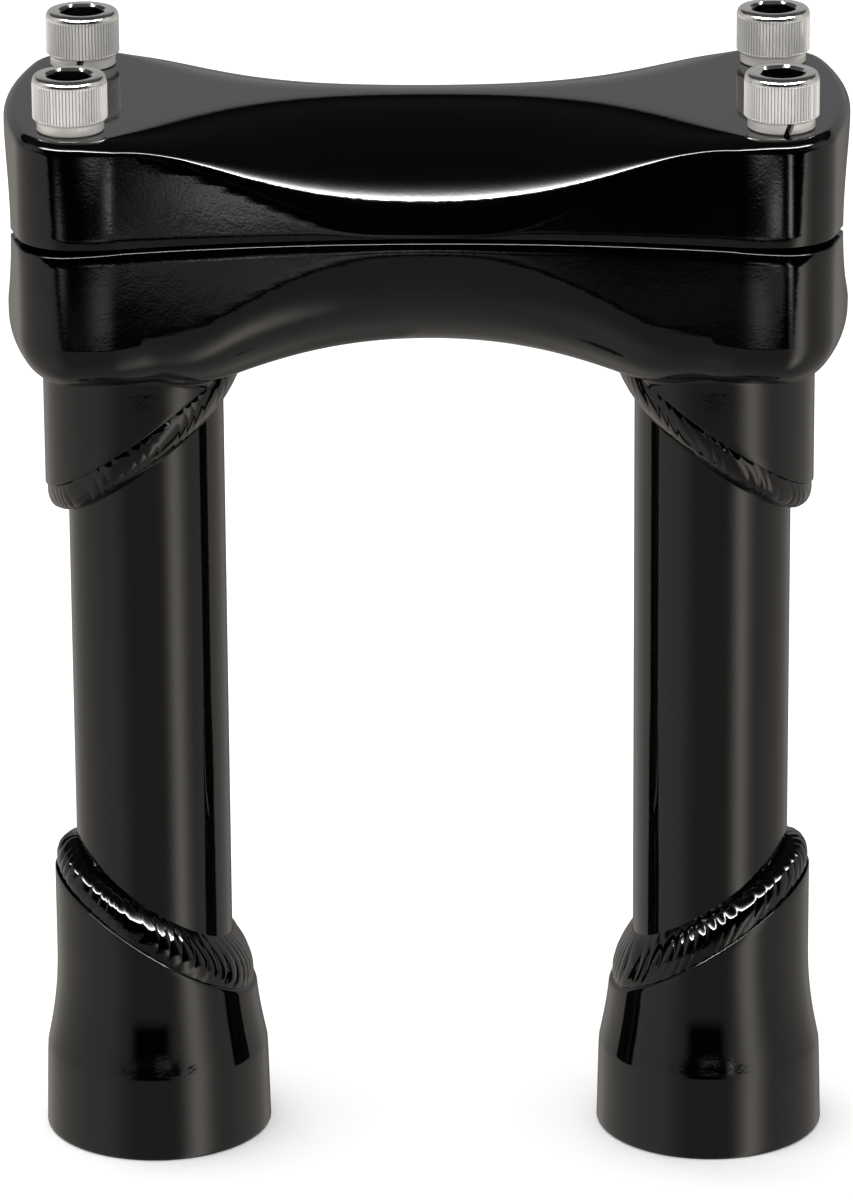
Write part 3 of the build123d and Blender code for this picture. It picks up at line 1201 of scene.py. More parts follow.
@dataclass
class RoundPiece:
    """What stands round an upright: its side, its cut and its place, in millimetres."""

    side: Side
    cut: Cut = Cut.FOOT
    upright_x: float = 44.45
    flats: int = 144

    @property
    def centre(self) -> tuple[float, float]:
        """Where the upright's axis stands, in X and Y."""
        return self.side.value * self.upright_x, 0.0

    def mitre(self, x: np.ndarray) -> np.ndarray:
        """Height of the mitred cut at places along the bar."""
        height, angle = self.cut.value
        return height + math.tan(math.radians(angle)) * (self.side.value * x - self.upright_x)

    def around(self, radius: np.ndarray, level: np.ndarray) -> np.ndarray:
        """Points round the upright, with one radius and height or one for each angle."""
        return ring_points(self.centre, radius, circle(self.flats), level)

    def on_mitre(self, radius: np.ndarray, lift: np.ndarray | float = 0.0) -> np.ndarray:
        """Points round the upright that stand on its mitre, or a lift over it.

        Args:
            radius: one radius for all, or one for each angle.
            lift: one height over the mitre for all, or one for each angle.

        Returns:
            The points.
        """
        points = self.around(radius, 0.0)
        points[:, 2] = self.mitre(points[:, 0]) + lift
        return points


@dataclass
class Stub(RoundPiece):
    """A round stub under the lower clamp, with its blended root and its mitred end."""

    cut: Cut = Cut.STUB
    form: ClampForm = field(default_factory=ClampForm)
    radius: float = 15.875
    root_round: float = 2.2
    root_steps: int = 8
    root_overlap: tuple[float, float] = (0.4, 0.8)
    wall_steps: int = 8
    rim_round: float = 0.3
    rim_steps: int = 4
    socket_radius: float = 12.35

    def ring(self, radius: float, lift: float) -> np.ndarray:
        """Points that follow the clamp's underside, but never fall under the mitre.

        Args:
            radius: the ring's radius.
            lift: how far over the underside it stands.

        Returns:
            The points.
        """
        points = self.around(radius, 0.0)
        x, y = points[:, 0], points[:, 1]
        points[:, 2] = np.maximum(self.form.under_surface(x, y) + lift, self.mitre(x))
        return points

    def build(self, finish: bpy.types.Material) -> bpy.types.Object:
        """Makes the stub.

        Args:
            finish: its material.

        Returns:
            The object.
        """
        skin = Skin()
        wide, sunk = self.root_overlap
        rings = [self.ring(self.radius + self.root_round + wide, sunk)]
        for turn in quarter(self.root_steps):
            radius = self.radius + self.root_round * (1 - math.sin(turn))
            rings.append(self.ring(radius, -self.root_round * (1 - math.cos(turn))))
        shoulder = rings[-1]
        low = self.mitre(shoulder[:, 0]) + self.rim_round
        for part in np.linspace(0, 1, self.wall_steps + 1)[1:]:
            wall = shoulder.copy()
            wall[:, 2] = np.maximum(shoulder[:, 2] * (1 - part) + low * part, low)
            rings.append(wall)
        for turn in quarter(self.rim_steps)[1:]:
            radius = self.radius - self.rim_round * (1 - math.cos(turn))
            rings.append(self.on_mitre(radius, self.rim_round * (1 - math.sin(turn))))
        rings.append(self.on_mitre(self.radius - 2 * self.rim_round))
        rings.append(self.on_mitre(self.socket_radius))
        rings.append(self.ring(self.socket_radius, sunk))
        rows = [skin.add(points) for points in rings]
        skin.grid(np.array(rows), close_columns=True)
        skin.grid(np.array([rows[-1], rows[0]]), close_columns=True)
        return skin.build(f"{self.side.name.lower()}_stub", finish)


@dataclass
class Upright(RoundPiece):
    """A plain round tube between a foot and a stub."""

    radius: float = 12.3
    bore: float = 9.1
    bottom: float = 22.5
    top: float = 128.9
    edge: float = 0.3
    flats: int = 160

    def build(self, finish: bpy.types.Material) -> bpy.types.Object:
        """Makes the tube.

        Args:
            finish: its material.

        Returns:
            The object.
        """
        low, high = self.bottom, self.top
        profile = [
            (self.bore, low),
            (self.radius - self.edge, low),
            (self.radius, low + self.edge),
            (self.radius, (low + high) / 2),
            (self.radius, high - self.edge),
            (self.radius - self.edge, high),
            (self.bore, high),
            (self.bore, low),
        ]
        tube = lathe(profile, self.centre, self.flats)
        return tube.build(f"{self.side.name.lower()}_upright", finish)


@dataclass
class Foot(RoundPiece):
    """A turned foot: flared at the ground, threaded from below, mitred for the weld."""

    base_radius: float = 18.1
    shoulder_radius: float = 17.75
    shoulder_height: float = 14.0
    shoulder_blend: float = 1.4
    shoulder_cut: float = 0.06
    flare_top: float = 29.6
    neck_radius: float = 15.875
    base_edge: float = 0.5
    edge_steps: int = 5
    taper_levels: tuple[float, float, int] = (1.5, 11.0, 6)
    shoulder_levels: tuple[float, float, int] = (12.0, 16.0, 9)
    flare_start: float = 18.0
    plain_top: float = 20.0
    flare_steps: int = 12
    rim_round: float = 0.3
    rim_steps: int = 4
    rim_rounds: int = 4
    socket_radius: float = 12.35
    socket_floor: float = 22.5
    thread_radius: float = 5.36
    thread_depth: float = 20.0
    thread_pitch: float = 1.954
    thread_cut: float = 0.9
    thread_start: float = 1.2
    thread_steps: int = 120
    thread_run_out: float = 2.0
    foot_face: float = 0.4

    def outline(self, z: np.ndarray) -> np.ndarray:
        """The foot's radius at a height: a slow taper, a soft shoulder and a hollow flare.

        Args:
            z: the heights.

        Returns:
            The radii.
        """
        rise = self.flare_top - self.shoulder_height
        step = self.shoulder_radius - self.neck_radius
        bend = (rise * rise + step * step) / (2 * step)
        up = np.clip(self.flare_top - z, 0.0, rise)
        flare = self.neck_radius + bend - np.sqrt(bend * bend - up * up)
        narrowing = (self.shoulder_radius - self.base_radius) * z / self.shoulder_height
        lean = rise / math.sqrt(bend * bend - rise * rise) * (self.shoulder_height - z)
        low = np.where(z < self.shoulder_height, self.shoulder_radius + lean, flare)
        away = np.abs(z - self.shoulder_height) / (2 * self.shoulder_blend)
        near = np.clip(1 - away, 0.0, 1.0)
        return np.minimum(low, self.base_radius + narrowing) - self.shoulder_cut * near * near

    def rim(self) -> np.ndarray:
        """Height of the rim at each angle, where the mitre meets the outside.

        Returns:
            The heights, found by coming closer step by step.
        """
        z = self.cut.value[0]
        for _ in range(self.rim_rounds):
            z = self.mitre(self.around(self.outline(z), 0.0)[:, 0])
        return z

    def build(self, finish: bpy.types.Material) -> bpy.types.Object:
        """Makes the foot.

        Args:
            finish: its material.

        Returns:
            The object.
        """
        skin = Skin()
        rings = []
        for turn in quarter(self.edge_steps):
            radius = self.base_radius - self.base_edge * (1 - math.sin(turn))
            rings.append(self.around(radius, self.base_edge * (1 - math.cos(turn))))
        low, near = np.linspace(*self.taper_levels), np.linspace(*self.shoulder_levels)
        for z in np.concatenate([low, near, [self.flare_start, self.plain_top]]):
            rings.append(self.around(self.outline(z), z))
        rim = self.rim()
        for part in np.linspace(0, 1, self.flare_steps + 1)[1:]:
            z = self.plain_top + (rim - self.rim_round - self.plain_top) * part
            rings.append(self.around(self.outline(z), z))
        edge = self.outline(rim)
        for turn in quarter(self.rim_steps)[1:]:
            inset = self.rim_round * (1 - math.cos(turn))
            rings.append(self.on_mitre(edge - inset, -self.rim_round * (1 - math.sin(turn))))
        rings.append(self.on_mitre(edge - 2 * self.rim_round))
        rings.append(self.on_mitre(self.socket_radius))
        rings.append(self.around(self.socket_radius, self.socket_floor))
        rows = self.thread_rows(skin) + [skin.add(points) for points in rings]
        skin.grid(np.array(rows), close_columns=True)
        skin.cap(rows[-1])
        return skin.build(f"{self.side.name.lower()}_foot_body", finish)

    def thread_rows(self, skin: Skin) -> list[np.ndarray]:
        """Adds the threaded hole, from its closed end down to the foot's underside.

        Args:
            skin: the foot's skin.

        Returns:
            The rings' indices.
        """
        middle = np.array([[*self.centre, self.thread_depth]])
        rows = [np.repeat(skin.add(middle), self.flats)]
        for z in np.linspace(self.thread_depth, self.thread_start, self.thread_steps):
            phase = z / self.thread_pitch + circle(self.flats) / (2 * math.pi)
            ridge = np.abs(2 * (phase % 1.0) - 1.0)
            full = min(1.0, (self.thread_depth - z) / self.thread_run_out)
            radius = self.thread_radius + self.thread_cut * ridge * full
            rows.append(skin.add(self.around(radius, z)))
        mouth = self.thread_radius + self.thread_start
        for radius in (mouth, self.base_radius - self.base_edge - self.foot_face):
            rows.append(skin.add(self.around(radius, 0.0)))
        return rows


@dataclass
class WeldBead(RoundPiece):
    """A rippled weld bead round an upright, between a mitre and the tube."""

    rim_radius: float = 15.875
    inset: float = 0.45
    tube_radius: float = 12.35
    leg: float = 6.6
    crown: float = 1.15
    ripples: int = 46
    ripple_height: float = 0.26
    upper_share: float = 0.55
    ripple_bow: float = 0.9
    waver_waves: tuple[int, int] = (3, 15)
    waver_size: float = 0.09
    waver_phase: float = 6.28
    waver_swell: float = 0.8
    toe_strength: float = 0.08
    crease: float = 60.0
    seed: int = 5
    upper_seed: int = 10
    steps: int = 16
    flats: int = 460

    @property
    def upper(self) -> bool:
        """Whether the bead is the one at the stub."""
        return self.cut is Cut.STUB

    def waver(self) -> np.ndarray:
        """How far the ripples run ahead or behind at each angle.

        Returns:
            A share of a ripple for each angle.
        """
        seed = self.seed + self.upper_seed * self.upper + self.side.value
        rng = np.random.default_rng(seed)
        waver = np.zeros(self.flats)
        for wave in range(*self.waver_waves):
            size = rng.normal(0, self.waver_size)
            waver += size * np.cos(wave * circle(self.flats) + rng.uniform(0, self.waver_phase))
        return waver

    def build(self, finish: bpy.types.Material) -> bpy.types.Object:
        """Makes the bead.

        Args:
            finish: its material.

        Returns:
            The object.
        """
        way = -1.0 if self.upper else 1.0
        ripple = self.ripple_height * (self.upper_share if self.upper else 1.0)
        waver = self.waver()
        start = self.rim_radius - self.inset
        across = start - self.tube_radius
        slope = math.hypot(self.leg, across)
        turns = circle(self.flats) / (2 * math.pi)
        skin = Skin()
        rows = []
        for part in np.linspace(0, 1, self.steps + 1):
            phase = turns * self.ripples + self.ripple_bow * (2 * part - 1) ** 2 + waver
            scale = np.sqrt(np.clip(1 - (2 * (phase % 1.0) - 1) ** 2, 0.0, 1.0)) - 0.5
            reach = min(1.0, self.toe_strength + part * (1 - self.toe_strength))
            full = math.sin(math.pi * reach) ** 0.5
            swell = ripple * scale * full + self.waver_swell * waver * full * self.ripple_height
            swell = swell + self.crown * 4 * part * (1 - part)
            radius = start - across * part + swell * self.leg / slope
            lift = way * (self.leg * part + swell * across / slope) if part else 0.0
            rows.append(skin.add(self.on_mitre(radius, lift)))
        rows.append(skin.add(self.on_mitre(self.tube_radius)))
        skin.grid(np.array(rows), close_rows=True, close_columns=True)
        level = "upper" if self.upper else "lower"
        return skin.build(f"{level}_{self.side.name.lower()}_bead", finish, self.crease)


# Capscrews and washers


@dataclass
class GrownTree:
    """What the node trees of the knurl and the thread share: named inputs and a dressed end."""

    name: str

    def begin(self, whole: tuple[str, ...], sizes: tuple[str, ...]) -> tuple[NodeSheet, object]:
        """Starts the tree.

        Args:
            whole: the names of the inputs that are whole numbers.
            sizes: the names of the other inputs.

        Returns:
            The tree's node sheet, and the sockets of its inputs.
        """
        tree = bpy.data.node_groups.new(self.name, "GeometryNodeTree")
        faces = tree.interface
        faces.new_socket("Geometry", in_out="OUTPUT", socket_type="NodeSocketGeometry")
        for label in whole:
            faces.new_socket(label, in_out="INPUT", socket_type="NodeSocketInt")
        for label in sizes:
            faces.new_socket(label, in_out="INPUT", socket_type="NodeSocketFloat")
        sheet = NodeSheet(tree)
        return sheet, sheet.node("NodeGroupInput").outputs

    def end(
        self, sheet: NodeSheet, shape: bpy.types.NodeSocket, finish: bpy.types.Material
    ) -> bpy.types.NodeTree:
        """Ends the tree: makes its copies real and dresses them.

        Args:
            sheet: the tree's node sheet.
            shape: what the tree has made.
            finish: the material that it gets.

        Returns:
            The tree.
        """
        real = sheet.node("GeometryNodeRealizeInstances", {"Geometry": shape})
        dressed = {"Geometry": real.outputs["Geometry"], "Material": finish}
        dress = sheet.node("GeometryNodeSetMaterial", dressed)
        sheet.node("NodeGroupOutput", {"Geometry": dress.outputs["Geometry"]})
        return sheet.tree


@dataclass
class RidgeTree(GrownTree):
    """A node tree that stands straight knurl ridges in a ring."""

    name: str = "knurl_ridges"
    corners: int = 4

    def build(self, finish: bpy.types.Material) -> bpy.types.NodeTree:
        """Makes the tree.

        Args:
            finish: the material that the ridges get.

        Returns:
            The tree, with inputs for its sizes.
        """
        sheet, sizes = self.begin(("Ridges",), ("Ring Radius", "Ridge Radius", "Ridge Height"))
        ring = sheet.node(
            "GeometryNodeMeshCircle",
            {"Vertices": sizes["Ridges"], "Radius": sizes["Ring Radius"]},
        )
        ridge = sheet.node(
            "GeometryNodeMeshCylinder",
            {
                "Vertices": self.corners,
                "Radius": sizes["Ridge Radius"],
                "Depth": sizes["Ridge Height"],
            },
            fill_type="NGON",
        )
        index = sheet.node("GeometryNodeInputIndex").outputs[0]
        turn = sheet.math("DIVIDE", index, sizes["Ridges"]) * (2 * math.pi)
        spin = sheet.node("ShaderNodeCombineXYZ", {"Z": turn})
        stand = sheet.node(
            "GeometryNodeInstanceOnPoints",
            {
                "Points": ring.outputs["Mesh"],
                "Instance": ridge.outputs["Mesh"],
                "Rotation": spin.outputs[0],
            },
        )
        return self.end(sheet, stand.outputs["Instances"], finish)


@dataclass
class HelixTree(GrownTree):
    """A node tree that winds a thread ridge up a shank."""

    name: str = "thread_helix"
    turn_steps: int = 40
    corners: int = 4

    def build(self, finish: bpy.types.Material) -> bpy.types.NodeTree:
        """Makes the tree.

        Args:
            finish: the material that the thread gets.

        Returns:
            The tree, with inputs for its sizes.
        """
        sheet, sizes = self.begin((), ("Turns", "Core Radius", "Thread Length", "Ridge Size"))
        coil = sheet.node(
            "GeometryNodeCurveSpiral",
            {
                "Resolution": self.turn_steps,
                "Rotations": sizes["Turns"],
                "Start Radius": sizes["Core Radius"],
                "End Radius": sizes["Core Radius"],
                "Height": sizes["Thread Length"],
            },
        )
        ridge = sheet.node(
            "GeometryNodeCurvePrimitiveCircle",
            {"Resolution": self.corners, "Radius": sizes["Ridge Size"]},
        )
        sweep = sheet.node(
            "GeometryNodeCurveToMesh",
            {
                "Fill Caps": True,
                "Curve": coil.outputs["Curve"],
                "Profile Curve": ridge.outputs["Curve"],
            },
        )
        return self.end(sheet, sweep.outputs["Mesh"], finish)


def grow(
    tree: bpy.types.NodeTree, name: str, sizes: dict[str, float], place: Vector
) -> bpy.types.Mesh:
    """Runs a node tree once and keeps the result as a plain mesh.

    Args:
        tree: the node tree.
        name: the mesh's name.
        sizes: its inputs, by name.
        place: where the result goes.

    Returns:
        The mesh, already in its place.
    """
    carrier = bpy.data.objects.new(name, bpy.data.meshes.new(name + "_seed"))
    bpy.context.scene.collection.objects.link(carrier)
    modifier = carrier.modifiers.new(name, "NODES")
    modifier.node_group = tree
    for item in tree.interface.items_tree:
        if item.in_out == "INPUT" and item.name in sizes:
            modifier[item.identifier] = sizes[item.name]
    graph = bpy.context.evaluated_depsgraph_get()
    graph.update()
    mesh = bpy.data.meshes.new_from_object(carrier.evaluated_get(graph), depsgraph=graph)
    bpy.data.objects.remove(carrier)
    mesh.transform(Matrix.Translation(place))
    return mesh


def join(
    name: str, skins: list[bpy.types.Mesh], finish: bpy.types.Material, crease: float
) -> bpy.types.Object:
    """Joins several meshes into one object.

    Args:
        name: the object's name.
        skins: the meshes.
        finish: the material.
        crease: the angle, in degrees, past which an edge stays sharp.

    Returns:
        The object.
    """
    work = bmesh.new()
    for skin in skins:
        work.from_mesh(skin)
    mesh = bpy.data.meshes.new(name)
    work.to_mesh(mesh)
    work.free()
    return finish_mesh(mesh, name, finish, crease)


@dataclass
class Fastener:
    """What stands at one of the clamp's four screw places."""

    side: Side
    end: End
    pattern: ScrewPattern

    @property
    def centre(self) -> tuple[float, float]:
        """Where the screw's axis stands, in X and Y."""
        return self.side.value * self.pattern.x, self.end.value * self.pattern.y

    @property
    def corner(self) -> str:
        """The name of the place."""
        return f"{self.end.name.lower()}_{self.side.name.lower()}"


@dataclass
class CapScrew(Fastener):
    """A stainless socket capscrew: knurled head, hexagon socket, plain grip and thread.

    The collar, the blank and the crown are pairs: how far a point of the head stands in, and
    how far it lies over the seat (collar) or under the top (crown).
    """

    seat: float = 173.42
    head_radius: float = 5.74
    head_height: float = 6.9
    collar: tuple[tuple[float, float], ...] = ((0.6, 0.0), (0.12, 0.2), (0.06, 0.4))
    crown: tuple[tuple[float, float], ...] = (
        (0.04, 1.2),
        (0.02, 1.0),
        (0.1, 0.55),
        (0.24, 0.24),
        (0.42, 0.06),
        (0.62, 0.0),
    )
    blank_inset: float = 0.32
    blank_ends: tuple[float, float] = (0.5, 1.35)
    knurl_ends: tuple[float, float] = (0.3, 1.1)
    ridges: int = 68
    ridge_radius: float = 0.28
    hex_width: float = 6.35
    hex_depth: float = 4.0
    hex_turn: float = 0.0
    hex_lip: float = 0.6
    hex_flare: float = 1.02
    hex_bevel: tuple[float, float] = (0.34, 0.42)
    drill_radius: float = 1.4
    drill_depth: float = 0.5
    shank_length: float = 37.6
    shank_slack: float = 0.03
    grip_length: float = 9.0
    grip_ease: float = 0.9
    tip_bevel: tuple[float, float] = (0.5, 0.7)
    head_overlap: float = 0.05
    pitch: float = 1.411
    thread_root: float = 0.82
    thread_size: float = 0.62
    thread_start: float = 0.75
    thread_short: float = 1.9
    flats: int = 96
    shank_flats: int = 48
    crease: float = 30.0

    def head(self) -> Skin:
        """The head without its knurl: a turned blank with a hexagon socket.

        Returns:
            The head's skin.
        """
        low, top = self.seat, self.seat + self.head_height
        angles = circle(self.flats)
        sixth = math.pi / 3
        turned = (angles - math.radians(self.hex_turn)) % sixth
        hexagon = self.hex_width / 2 / np.cos(turned - sixth / 2)
        floor = top - self.hex_depth
        blank = self.head_radius - self.blank_inset
        profile = [(self.head_radius - inset, low + rise) for inset, rise in self.collar]
        profile += [(blank, low + self.blank_ends[0]), (blank, top - self.blank_ends[1])]
        profile += [(self.head_radius - inset, top - drop) for inset, drop in self.crown]
        profile += [
            (self.hex_width / 2 + self.hex_lip, top),
            (hexagon * self.hex_flare, top - self.hex_bevel[0]),
            (hexagon, top - self.hex_bevel[1]),
            (hexagon, floor),
            (self.drill_radius, floor - self.drill_depth),
        ]
        skin = Skin()
        rows = [skin.add(ring_points(self.centre, r, angles, z)) for r, z in profile]
        skin.grid(np.array(rows), close_columns=True)
        skin.cap(rows[-1])
        skin.cap(rows[0])
        return skin

    def shank(self) -> Skin:
        """The shank's core: a plain grip under the head, then the thread's root.

        Returns:
            The shank's skin.
        """
        root = self.pattern.shank_radius - self.thread_root
        full = self.pattern.shank_radius - self.shank_slack
        tip, grip = self.seat - self.shank_length, self.seat - self.grip_length
        top = self.seat + self.head_overlap
        profile = [
            (0.0, tip),
            (root - self.tip_bevel[0], tip),
            (root, tip + self.tip_bevel[1]),
            (root, grip - self.grip_ease),
            (full, grip),
            (full, top),
            (0.0, top),
        ]
        return lathe(profile, self.centre, self.shank_flats)

    def build(
        self, finish: bpy.types.Material, ridge: bpy.types.NodeTree, helix: bpy.types.NodeTree
    ) -> bpy.types.Object:
        """Makes the screw.

        Args:
            finish: its material.
            ridge: the node tree for the knurl.
            helix: the node tree for the thread.

        Returns:
            The object.
        """
        name = f"{self.corner}_capscrew"
        low = self.seat + self.knurl_ends[0]
        high = self.seat + self.head_height - self.knurl_ends[1]
        knurl_sizes = {
            "Ridges": self.ridges,
            "Ring Radius": (self.head_radius - self.ridge_radius) * MM,
            "Ridge Radius": self.ridge_radius * MM,
            "Ridge Height": (high - low) * MM,
        }
        knurl_place = Vector((*self.centre, (low + high) / 2)) * MM
        knurl = grow(ridge, f"{name}_knurl", knurl_sizes, knurl_place)
        length = self.shank_length - self.grip_length - self.thread_short
        thread_sizes = {
            "Turns": length / self.pitch,
            "Core Radius": (self.pattern.shank_radius - self.thread_size) * MM,
            "Thread Length": length * MM,
            "Ridge Size": self.thread_size * MM,
        }
        start = self.seat - self.shank_length + self.thread_start
        thread_place = Vector((*self.centre, start)) * MM
        thread = grow(helix, f"{name}_thread", thread_sizes, thread_place)
        blank, core = self.head().mesh(f"{name}_head"), self.shank().mesh(f"{name}_shank")
        return join(name, [blank, core, knurl, thread], finish, self.crease)


@dataclass
class LockWasher(Fastener):
    """A split lock washer: a flat coil of square wire, cut through at a slant."""

    seat: float = 171.72
    outer_radius: float = 5.15
    inner_radius: float = 4.1
    thickness: float = 1.7
    edge: float = 0.2
    gap: float = 1.1
    gap_turn: float = 250.0
    slant: float = 0.35
    steps: int = 96
    crease: float = 30.0

    def build(self, finish: bpy.types.Material) -> bpy.types.Object:
        """Makes the washer.

        Args:
            finish: its material.

        Returns:
            The object.
        """
        half_gap = self.gap / 2 / self.outer_radius
        start = math.radians(self.gap_turn)
        angles = np.linspace(start + half_gap, start + 2 * math.pi - half_gap, self.steps)
        inner, outer, edge = self.inner_radius, self.outer_radius, self.edge
        low, high = self.seat, self.seat + self.thickness
        section = (
            (inner, low + edge),
            (inner + edge, low),
            (outer - edge, low),
            (outer, low + edge),
            (outer, high - edge),
            (outer - edge, high),
            (inner + edge, high),
            (inner, high - edge),
        )
        middle = low + self.thickness / 2
        columns = []
        for radius, z in section:
            turned = angles + self.slant * (z - middle) / outer
            columns.append(ring_points(self.centre, radius, turned, z))
        skin = Skin()
        rows = skin.add(np.stack(columns, 1))
        skin.grid(rows, close_columns=True)
        skin.cap(rows[0])
        skin.cap(rows[-1])
        return skin.build(f"{self.corner}_lock_washer", finish, self.crease)


# The studio


@dataclass(frozen=True)
class Pool:
    """A soft pool of light that the film finds on the floor: place and reach in metres."""

    x: float
    y: float
    wide: float
    deep: float
    level: float

    def build(self, sheet: NodeSheet, x: Signal, y: Signal) -> Signal:
        """Gives the pool's light at each place.

        Args:
            sheet: the floor's node sheet.
            x: the place to the right.
            y: the place to the rear.

        Returns:
            The level of light.
        """
        across, along = (x - self.x) / self.wide, (y - self.y) / self.deep
        return sheet.math("EXPONENT", -(across**2 + along**2)) * self.level


@dataclass
class Studio:
    """A plain pale floor in a soft studio, with the light that the black film mirrors.

    Angles are in degrees. Turns run from 0 in front of the riser, positive to the right, and
    heights from 0 at the horizon. A pair says where a change starts and where it is complete.
    """

    floor_half: float = 10.0
    floor_front: float = -0.405
    floor_blur: float = 0.012
    floor_glow: float = 0.13
    floor_rough: float = 0.9
    floor_grain: tuple[float, float] = (30.0, 2.0)
    floor_greys: tuple[float, float] = (0.9, 0.93)
    pools: tuple[Pool, ...] = (
        Pool(0.088, -0.557, 0.036, 0.022, 2.4),
        Pool(-0.276, -0.485, 0.07, 0.035, 0.95),
        Pool(0.253, -0.54, 0.03, 0.08, 4.0),
        Pool(0.01, -0.626, 0.06, 0.03, 1.7),
        Pool(0.123, -0.5, 0.04, 0.02, 0.5),
        Pool(-0.109, -0.462, 0.05, 0.02, 0.12),
        Pool(0.02, -0.485, 0.06, 0.03, 0.9),
    )
    front_level: float = 0.28
    side_level: float = 0.6
    side_turn: tuple[float, float] = (20.0, 55.0)
    rear_level: float = 0.25
    rear_turn: tuple[float, float] = (145.0, 172.0)
    under_level: float = 0.33
    under_height: tuple[float, float] = (-75.0, -45.0)
    warmth: tuple[float, float, float] = (1.03, 0.97, 0.9)
    panel_turn: float = 43.0
    panel_spread: float = 12.5
    panel_level: float = 1.5
    shade_turn: tuple[float, float] = (58.0, 72.0)
    shade_level: float = 0.1
    dark_left: tuple[float, float] = (-30.0, -18.0)
    dark_right: tuple[float, float] = (8.0, 22.0)
    dark_height: tuple[float, float] = (-14.0, -9.0)
    horizon: tuple[float, float] = (-1.0, 1.0)
    backdrop_level: float = 0.39
    backdrop_turn: tuple[float, float] = (95.0, 120.0)
    backdrop_top: tuple[float, float] = (20.2, 24.2)
    flank_turn: tuple[float, float] = (50.0, 80.0)
    flank_top: tuple[float, float] = (25.0, 45.0)
    strip_low: tuple[float, float] = (33.6, 34.4)
    strip_turn: tuple[float, float] = (60.0, 80.0)
    strip_fade: float = 2.7
    strip_level: float = 110.0
    ceiling_level: float = 0.05
    ceiling_height: tuple[float, float] = (20.0, 40.0)
    lamp_power: float = 6.0
    lamp_size: tuple[float, float] = (1.2, 1.0)
    lamp_place: tuple[float, float, float] = (-0.3, 0.1, 1.1)

    def build(self) -> None:
        """Makes the floor, the surroundings and the lamp."""
        self.build_floor()
        self.build_world()
        self.build_lamp()

    def build_floor(self) -> None:
        """Makes the floor: white to the eye, with the riser's soft shadow."""
        mesh = bpy.data.meshes.new("studio_floor")
        reach = self.floor_half
        corners = [(-reach, -reach, 0), (reach, -reach, 0), (reach, reach, 0), (-reach, reach, 0)]
        mesh.from_pydata(corners, [], [(0, 1, 2, 3)])
        floor = bpy.data.objects.new("studio_floor", mesh)
        bpy.context.scene.collection.objects.link(floor)
        material, sheet, shader, where = blank_material("pale_floor")
        shader.inputs["Roughness"].default_value = self.floor_rough
        shader.inputs["Specular IOR Level"].default_value = 0.0
        low, high = ((grey,) * 3 for grey in self.floor_greys)
        grain = sheet.noise(where, *self.floor_grain)
        sheet.put(shader.inputs["Base Color"], sheet.ramp(grain, low, high))
        lift = sheet.node("ShaderNodeEmission", {"Strength": self.floor_glow})
        seen = sheet.node("ShaderNodeAddShader", {0: shader.outputs[0], 1: lift.outputs[0]})
        glossy = sheet.node("ShaderNodeLightPath").outputs["Is Glossy Ray"]
        both = sheet.blend(glossy, seen, self.mirrored_floor(sheet, where))
        output = material.node_tree.nodes["Material Output"]
        sheet.put(output.inputs["Surface"], both.outputs[0])
        mesh.materials.append(material)

    def mirrored_floor(self, sheet: NodeSheet, where: bpy.types.NodeSocket) -> bpy.types.Node:
        """What the film mirrors of the floor: the studio near by, the dark past its front edge.

        Args:
            sheet: the floor's node sheet.
            where: the floor's object coordinates.

        Returns:
            The shader's node.
        """
        x, y, _ = sheet.split(where)
        light = 0.0
        for pool in self.pools:
            light = light + pool.build(sheet, x, y)
        glow = sheet.node("ShaderNodeEmission", {"Color": light})
        clear = sheet.node("ShaderNodeBsdfTransparent")
        near = sheet.step(y, self.floor_front - self.floor_blur, self.floor_front + self.floor_blur)
        return sheet.blend(near, glow, clear)

    def build_world(self) -> None:
        """Makes the surroundings: plain white, and for the film a studio with a bright strip."""
        world = bpy.data.worlds.new("soft_studio")
        bpy.context.scene.world = world
        world.use_nodes = True
        world.node_tree.nodes.clear()
        sheet = NodeSheet(world.node_tree)
        x, y, z = sheet.split(sheet.node("ShaderNodeTexCoord").outputs["Generated"])
        height = sheet.math("ARCSINE", z) * DEGREE
        turn = sheet.math("ARCTAN2", x, -y) * DEGREE
        low, high = self.low_level(sheet, turn, height), self.high_level(sheet, turn, height)
        above = sheet.step(height, *self.horizon)
        tones = {i: sheet.mixed(above, low * warm, high) for i, warm in enumerate(self.warmth)}
        colour = sheet.node("ShaderNodeCombineXYZ", tones)
        glow = sheet.node("ShaderNodeBackground", {"Color": colour.outputs[0]})
        plain = sheet.node("ShaderNodeBackground", {"Color": (1.0, 1.0, 1.0, 1.0)})
        glossy = sheet.node("ShaderNodeLightPath").outputs["Is Glossy Ray"]
        both = sheet.blend(glossy, plain, glow)
        sheet.node("ShaderNodeOutputWorld", {"Surface": both.outputs[0]})

    def low_level(self, sheet: NodeSheet, turn: Signal, height: Signal) -> Signal:
        """Light from below the horizon: brighter to the sides, with a lit panel on the right.

        Args:
            sheet: the world's node sheet.
            turn: the direction round the riser.
            height: the height over the horizon.

        Returns:
            The level of light.
        """
        aside = abs(turn)
        lit = sheet.mixed(sheet.step(aside, *self.side_turn), self.front_level, self.side_level)
        lit = sheet.mixed(sheet.step(aside, *self.rear_turn), lit, self.rear_level)
        off = (turn - self.panel_turn) / self.panel_spread
        lit = lit + sheet.math("EXPONENT", -(off**2)) * self.panel_level
        lit = lit - sheet.step(turn, *self.shade_turn) * self.shade_level
        lit = sheet.mixed(sheet.step(height, *self.under_height), self.under_level, lit)
        ahead = sheet.step(turn, *self.dark_left) * (1.0 - sheet.step(turn, *self.dark_right))
        return lit * (1.0 - sheet.step(height, *self.dark_height) * ahead)

